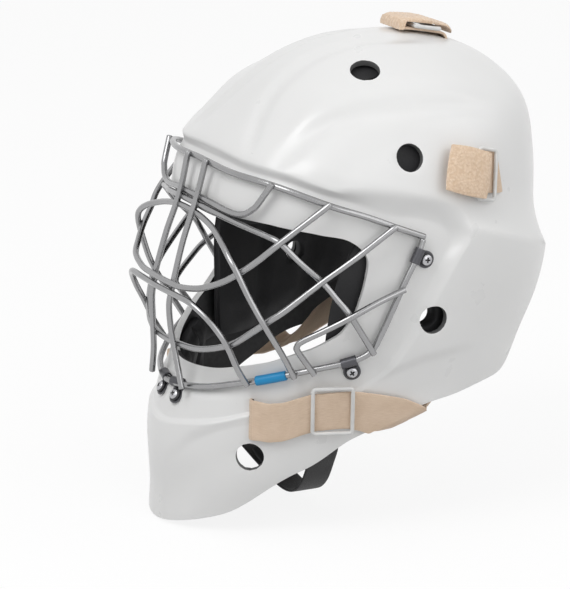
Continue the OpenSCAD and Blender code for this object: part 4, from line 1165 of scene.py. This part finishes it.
# Settings
class MaskSettings(bpy.types.PropertyGroup):
    """Sizes and colours of the mask's finish"""

    shell_color: bpy.props.FloatVectorProperty(name="Shell", description="Colour of the moulded shell",
                                               subtype="COLOR", size=3, min=0, max=1, default=(0.82, 0.82, 0.815))
    wire_color: bpy.props.FloatVectorProperty(name="Wire", description="Colour of the cage wire", subtype="COLOR",
                                              size=3, min=0, max=1, default=(0.34, 0.34, 0.345))
    strap_color: bpy.props.FloatVectorProperty(name="Straps", description="Colour of the elastic straps",
                                               subtype="COLOR", size=3, min=0, max=1, default=(0.78, 0.62, 0.48))
    sleeve_color: bpy.props.FloatVectorProperty(name="Sleeve", description="Colour of the sleeve on the wire",
                                                subtype="COLOR", size=3, min=0, max=1, default=(0.005, 0.29, 0.62))
    wire_d: bpy.props.FloatProperty(name="Wire diameter", description="Thickness of the cage wire", unit="LENGTH",
                                    min=0.003, max=0.0046, default=WIRE * MM)
    lamp_level: bpy.props.FloatProperty(name="Lamps", description="Level of the studio lamps", subtype="FACTOR",
                                        min=0.1, max=3, default=1.0)


class MASK_OT_shell(bpy.types.Operator):
    """Builds the moulded shell with its openings and rounded edges"""

    bl_idname = "mask.shell"
    bl_label = "Shell"

    def execute(self, context):
        fitted(build_shell(), "mask", shell_paint(), "shell")
        return {"FINISHED"}


class MASK_OT_cage(bpy.types.Operator):
    """Builds the wires of the face cage and the sleeve on one of them"""

    bl_idname = "mask.cage"
    bl_label = "Cage"

    def execute(self, context):
        bright = steel_wire()
        d = settings().wire_d
        for node, path in wire_paths().items():
            piece = swept("bent_" + node, path * MM, d)
            fitted(piece, "mask", bright, node)
        side = on_frame(SIDE_AT)
        step = SLEEVE_LONG / np.linalg.norm(curve(side, SLEEVE_AT + 0.5) - curve(side, SLEEVE_AT - 0.5))
        way = np.array([curve(side, SLEEVE_AT - k * step / 24) for k in range(-12, 13)])
        sleeve = swept("shrunk_sleeve", way * MM, SLEEVE_D * MM, 5)
        blue = plain("blue_sleeve", tuple(settings().sleeve_color), 0.42, grain=500)
        fitted(sleeve, "mask", blue, "wire_sleeve")
        return {"FINISHED"}


class MASK_OT_clips(bpy.types.Operator):
    """Builds the six wire clips with their cups and screws"""

    bl_idname = "mask.clips"
    bl_label = "Clips"

    def execute(self, context):
        frames = [clip_frame(c) for c in CLIP_AT]
        frames += [sided(f) for f in frames]
        dark = plain("gunmetal_clip", (0.1, 0.1, 0.11), 0.34, 0.75, grain=700)
        fitted(joined("wire_clips", [clip_band(f) for f in frames]), "mask", dark, "clips")
        cup = plain("dark_cup", (0.035, 0.035, 0.038), 0.4, 0.3, grain=700)
        fitted(joined("screw_cups", [cup_washer(f) for f in frames]), "mask", cup, "clip_washers")
        master = screw_master()
        parts = [part for f in frames for part in screw_at(master, f)]
        bpy.data.objects.remove(master)
        # The screws' cross recesses carry painted shade.
        plated = plain("plated_screw", (0.5, 0.5, 0.52), 0.26, 1.0, grain=1200, shade="recess")
        fitted(joined("cross_screws", parts), "mask", plated, "clip_screws")
        paint(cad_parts["clip_nuts"], plated)
        return {"FINISHED"}


class MASK_OT_liner(bpy.types.Operator):
    """Builds the foam pads inside the shell"""

    bl_idname = "mask.liner"
    bl_label = "Liner"

    def execute(self, context):
        black = foam()
        ear = Vector((skin(polar(*EAR)) * [0, MM, MM]).tolist())
        across = Matrix.Translation(ear) @ Matrix.Rotation(math.pi / 2, 4, "Y")
        rooms = [mesh_from(rod_bm(EAR_BORE, 300, 48, across), "ear_bore")]
        for c in CLIP_AT[:2]:
            room = rod_bm(NUT_ROOM, 12, 32, Matrix.Translation((0, 0, 6 * MM)))
            shift(room, SCREW_X, 0, FLOOR - WALL - 3.8)
            to_frame(room, clip_frame(c))
            rooms.append(mesh_from(room, "nut_room"))
        slot = box_bm(5.6, 28.4, 11)
        shift(slot, 0, 0, THROUGH + 4)
        to_frame(slot, face_frame(*CHEEK_SLOT))
        groove = mesh_from(slot, "strap_groove")
        single = [("brow", BROW, IN_FLAT + RECESS, False, (-0.4, 0.4)),
                  ("crown", CROWN, IN_FLAT + GROOVE / 2, True, (-0.35, 0.35))]
        paired = [("temple", TEMPLE, IN_FLAT + 0.1, ()), ("cheek", CHEEK_PAD, IN_FLAT + SEAT_IN + 1, rooms),
                  ("jaw", JAW_PAD, IN_FLAT + SEAT_IN, (groove,))]
        for name, corners, depth, flat, lines in single:
            pad = pad_piece(name + "_foam", corners, depth, flat, lines)
            fitted(pad, "mask", black, name + "_pad")
        for name, corners, depth, bores in paired:
            pad = pad_piece(name + "_foam_left", corners, depth, bores=bores)
            twin = mirror_of(pad, name + "_foam_right")
            fitted(pad, "mask", black, name + "_pad_left")
            fitted(twin, "mask", black, name + "_pad_right")
        for room in (*rooms, groove):
            bpy.data.objects.remove(room)
        return {"FINISHED"}


class MASK_OT_plate(bpy.types.Operator):
    """Builds the back plate and its pad"""

    bl_idname = "mask.plate"
    bl_label = "Back plate"

    def execute(self, context):
        bm, co = grid_bm(64, 48)
        g = round_ab(co * 2 - 1, 0.2)
        move_verts(bm, back_at(g[:, 0], g[:, 1], -0.8 * bump(g[:, 0] / 0.3) * (1 - g[:, 1] ** 2)) * MM)
        turned_out(bm, 1, 1)
        thicken(bm, PLATE_T * MM)
        round_edges(bm, 0.0009, 1.0, 3)
        fitted(mesh_from(bm, "moulded_plate"), "back_plate", shell_paint("gloss_plate"), "back_plate")
        bm, co = block_bm(26, 2)
        g = co[:, :2] * 2
        r = 0.86 * round_ab(g, 0.28)
        deep = PLATE_T + 0.3 + (PAD_T - 2) * pad_k(g, (-0.35, 0.35)) * (co[:, 2] + 0.5)
        move_verts(bm, back_at(r[:, 0], r[:, 1], deep) * MM)
        pad = fitted(rounded(bm, "plate_foam", 0.0016, 0.8, 3), "back_plate", bpy.data.materials["liner_foam"],
                     "back_pad")
        return {"FINISHED"}


class MASK_OT_harness(bpy.types.Operator):
    """Builds the elastic straps, their wire sliders and their plush ends"""

    bl_idname = "mask.harness"
    bl_label = "Harness"

    def execute(self, context):
        c = tuple(settings().strap_color)
        elastic = woven("beige_elastic", c)
        fluff = plush("beige_plush", tuple(min(1, x * 1.12) for x in c))
        coated = plain("coated_slider", (0.78, 0.78, 0.77), 0.35, grain=900)
        for side, s in (("left", 1), ("right", -1)):
            for kind, rails, wave in (("cheek", cheek_rails(), 0.9), ("temple", temple_rails(), 0.0)):
                a, b = (sided(rail_line, s) for rail_line in rails[::s])
                band = centred_band(f"{kind}_elastic_{side}", a, b, STRAP_T, wave)
                leave, reach = (sided(v, s) for v in PLATE_ENDS[kind])
                hung(band, elastic, "elastic_beige", f"{kind}_strap_{side}", leave, reach)
            f, g, tab = (sided(face_frame(a, t, STRAP_T + LIE, turn), s)
                         for a, t, turn in (CHEEK_SLIDER, TEMPLE_SLIDER, TEMPLE_TAB))
            for kind, spot, w, h, gap in (("cheek", f, 25, STRAP_W + 5, SLACK),
                                          ("temple", g, 14, STRAP_W + 6, SLACK - 0.3)):
                wire = slider_piece(f"{kind}_wire_slider_{side}", spot, w, h, gap)
                fitted(wire, f"{kind}_slider_{side}", coated, f"{kind}_slider_{side}")
            end = soft_tab(f"temple_plush_{side}", tab, 32, STRAP_W + 5, 3, TAB_UP, 2.0)
            fitted(end, "mask", fluff, f"temple_tab_{side}")
        mid = top_line()
        a, b = mid * [0, 1, 1] + [STRAP_W / 2, 0, 0], mid * [0, 1, 1] - [STRAP_W / 2, 0, 0]
        hung(centred_band("top_elastic", a, b, STRAP_T), elastic, "elastic_beige", "top_strap", *PLATE_ENDS["top"])
        way = unit(crown_pt(TOP_SLIDER_Y + 5, 1) - crown_pt(TOP_SLIDER_Y - 5, 1))
        wire = slider_piece("top_wire_slider", crown_frame(TOP_SLIDER_Y, way), STRAP_W + 6, 18, SLACK - 0.5)
        fitted(wire, "top_slider", coated, "top_slider")
        fitted(top_fold("top_plush"), "mask", fluff, "top_tab")
        return {"FINISHED"}


class MASK_OT_sling(bpy.types.Operator):
    """Builds the chin sling and its cup, and paints its snaps"""

    bl_idname = "mask.sling"
    bl_label = "Chin sling"

    def execute(self, context):
        line = fine(np.array([[v[0] * (SNAP[0] - SLING_T), v[1] * SLING_DROP] for v in SLING_WAY]), 8)
        pts = np.stack([line[:, 0], np.full(len(line), SNAP[1]), SNAP[2] + line[:, 1]], -1)
        a, b = pts - [0, SLING_W / 2, 0], pts + [0, SLING_W / 2, 0]
        black = woven("black_webbing", (0.022, 0.022, 0.024), 1.2)
        band = centred_band("sling_webbing", a, b, SLING_T)
        fitted(band, "chin_sling", black, "chin_sling")
        bm, co = block_bm(20, 2)
        g = co[:, :2] * 2
        r = round_ab(g, 0.3)
        px = 21 * r[:, 0]
        bottom = line[np.abs(line[:, 0]) < 40]
        low = SNAP[2] + np.interp(px, bottom[:, 0], bottom[:, 1]) + 0.3
        z = low + 4 * (0.4 + 0.6 * (1 - g[:, 0] ** 6) * (1 - g[:, 1] ** 6)) * (co[:, 2] + 0.5)
        move_verts(bm, np.stack([px, SNAP[1] + (SLING_W - 2) / 2 * r[:, 1], z], -1) * MM)
        cup = fitted(rounded(bm, "padded_cup", 0.0008, 0.8, 2), "chin_sling", bpy.data.materials["liner_foam"],
                     "chin_cup")
        paint(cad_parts["sling_snaps"], plain("dark_snap", (0.06, 0.06, 0.065), 0.35, 0.8, grain=800))
        return {"FINISHED"}


class MASK_OT_stage(bpy.types.Operator):
    """Sets the floor, the pale surroundings, the lamps and the camera"""

    bl_idname = "mask.stage"
    bl_label = "Stage"

    def execute(self, context):
        scene = context.scene
        bm = bmesh.new()
        bmesh.ops.create_circle(bm, cap_ends=True, segments=96, radius=FLOOR_R)
        bmesh.ops.translate(bm, vec=(0, 0, CAD_BOX[0][2] - FLOOR_GAP), verts=list(bm.verts))
        floor = mesh_from(bm, "pale_floor")
        m = Finish("pale_floor", FLOOR_GREY, 0.9)
        glow = m.add("ShaderNodeEmission", None, {"Color": WHITE, "Strength": 1.0})
        sight = seen(m)
        m.use(Base_Color=m.between(FLOOR_GREY, (1, 1, 1), sight))
        surface = Wire(m, m.shader.outputs[0])
        shown = m.add("ShaderNodeMixShader", None, {0: sight * FLOOR_GLOW, 1: surface, 2: glow})
        m.tree.links.new(shown.socket, m.tree.nodes["Material Output"].inputs[0])
        floor.data.materials.append(m.mat)
        room = PaleRoom("pale_room")
        scene.world = room.world
        where = room.add("ShaderNodeTexCoord", out="Generated")
        height = room.add("ShaderNodeSeparateXYZ", None, {0: where}, out="Z")
        soft = room.mapped(height, -0.1, 1, 0.2, 0.7)
        lit = room.add("ShaderNodeBackground", None, {"Color": WHITE, "Strength": soft})
        white = room.add("ShaderNodeBackground", None, {"Color": WHITE, "Strength": 1.0})
        shown = room.add("ShaderNodeMixShader", None, {0: seen(room), 1: lit, 2: white})
        room.tree.links.new(shown.socket, room.tree.nodes["World Output"].inputs[0])
        for name, spot, size, power in LAMPS:
            lamp = bpy.data.lights.new(name, "AREA")
            lamp.size = size
            lamp.energy = power * settings().lamp_level
            obj = bpy.data.objects.new(name, lamp)
            scene.collection.objects.link(obj)
            obj.location = spot
            obj.rotation_euler = (-Vector(spot)).to_track_quat("-Z", "Y").to_euler()
        cam = bpy.data.cameras.new("photo_camera")
        cam.sensor_fit = "HORIZONTAL"
        cam.sensor_width = SENSOR
        cam.lens = SENSOR * FOCAL_PX / PHOTO_W
        cam.clip_end = 50
        view = bpy.data.objects.new("photo_camera", cam)
        scene.collection.objects.link(view)
        a, e = math.radians(AZIMUTH), math.radians(ELEVATION)
        right = Vector((math.cos(a), math.sin(a), 0))
        up = Vector((-math.sin(e) * math.sin(a), math.sin(e) * math.cos(a), math.cos(e)))
        back_way = Vector((math.cos(e) * math.sin(a), -math.cos(e) * math.cos(a), math.sin(e)))
        turn = Matrix((right, up, back_way)).transposed().to_4x4()
        view.matrix_world = Matrix.Translation(Vector(CAMERA_AT)) @ turn
        scene.camera = view
        scene.view_settings.view_transform = "Standard"
        return {"FINISHED"}


class MASK_PT_panel(bpy.types.Panel):
    """Lists the steps that dress the mask"""

    bl_idname = "MASK_PT_panel"
    bl_label = "Goalie mask"
    bl_space_type = "VIEW_3D"
    bl_region_type = "UI"
    bl_category = "Mask"

    def draw(self, context):
        values = context.scene.goalie_mask
        for name in MaskSettings.__annotations__:
            self.layout.prop(values, name)
        for step in STEPS:
            self.layout.operator(step.bl_idname)


STEPS = (MASK_OT_stage, MASK_OT_shell, MASK_OT_cage, MASK_OT_clips, MASK_OT_liner, MASK_OT_plate, MASK_OT_harness,
         MASK_OT_sling)


def register():
    for cls in (MaskSettings, *STEPS, MASK_PT_panel):
        bpy.utils.register_class(cls)
    bpy.types.Scene.goalie_mask = bpy.props.PointerProperty(type=MaskSettings)


def unregister():
    del bpy.types.Scene.goalie_mask
    for cls in reversed((MaskSettings, *STEPS, MASK_PT_panel)):
        bpy.utils.unregister_class(cls)


def main():
    register()
    for step in STEPS:
        group, name = step.bl_idname.split(".")
        getattr(getattr(bpy.ops, group), name)()


if __name__ == "__main__":
    main()
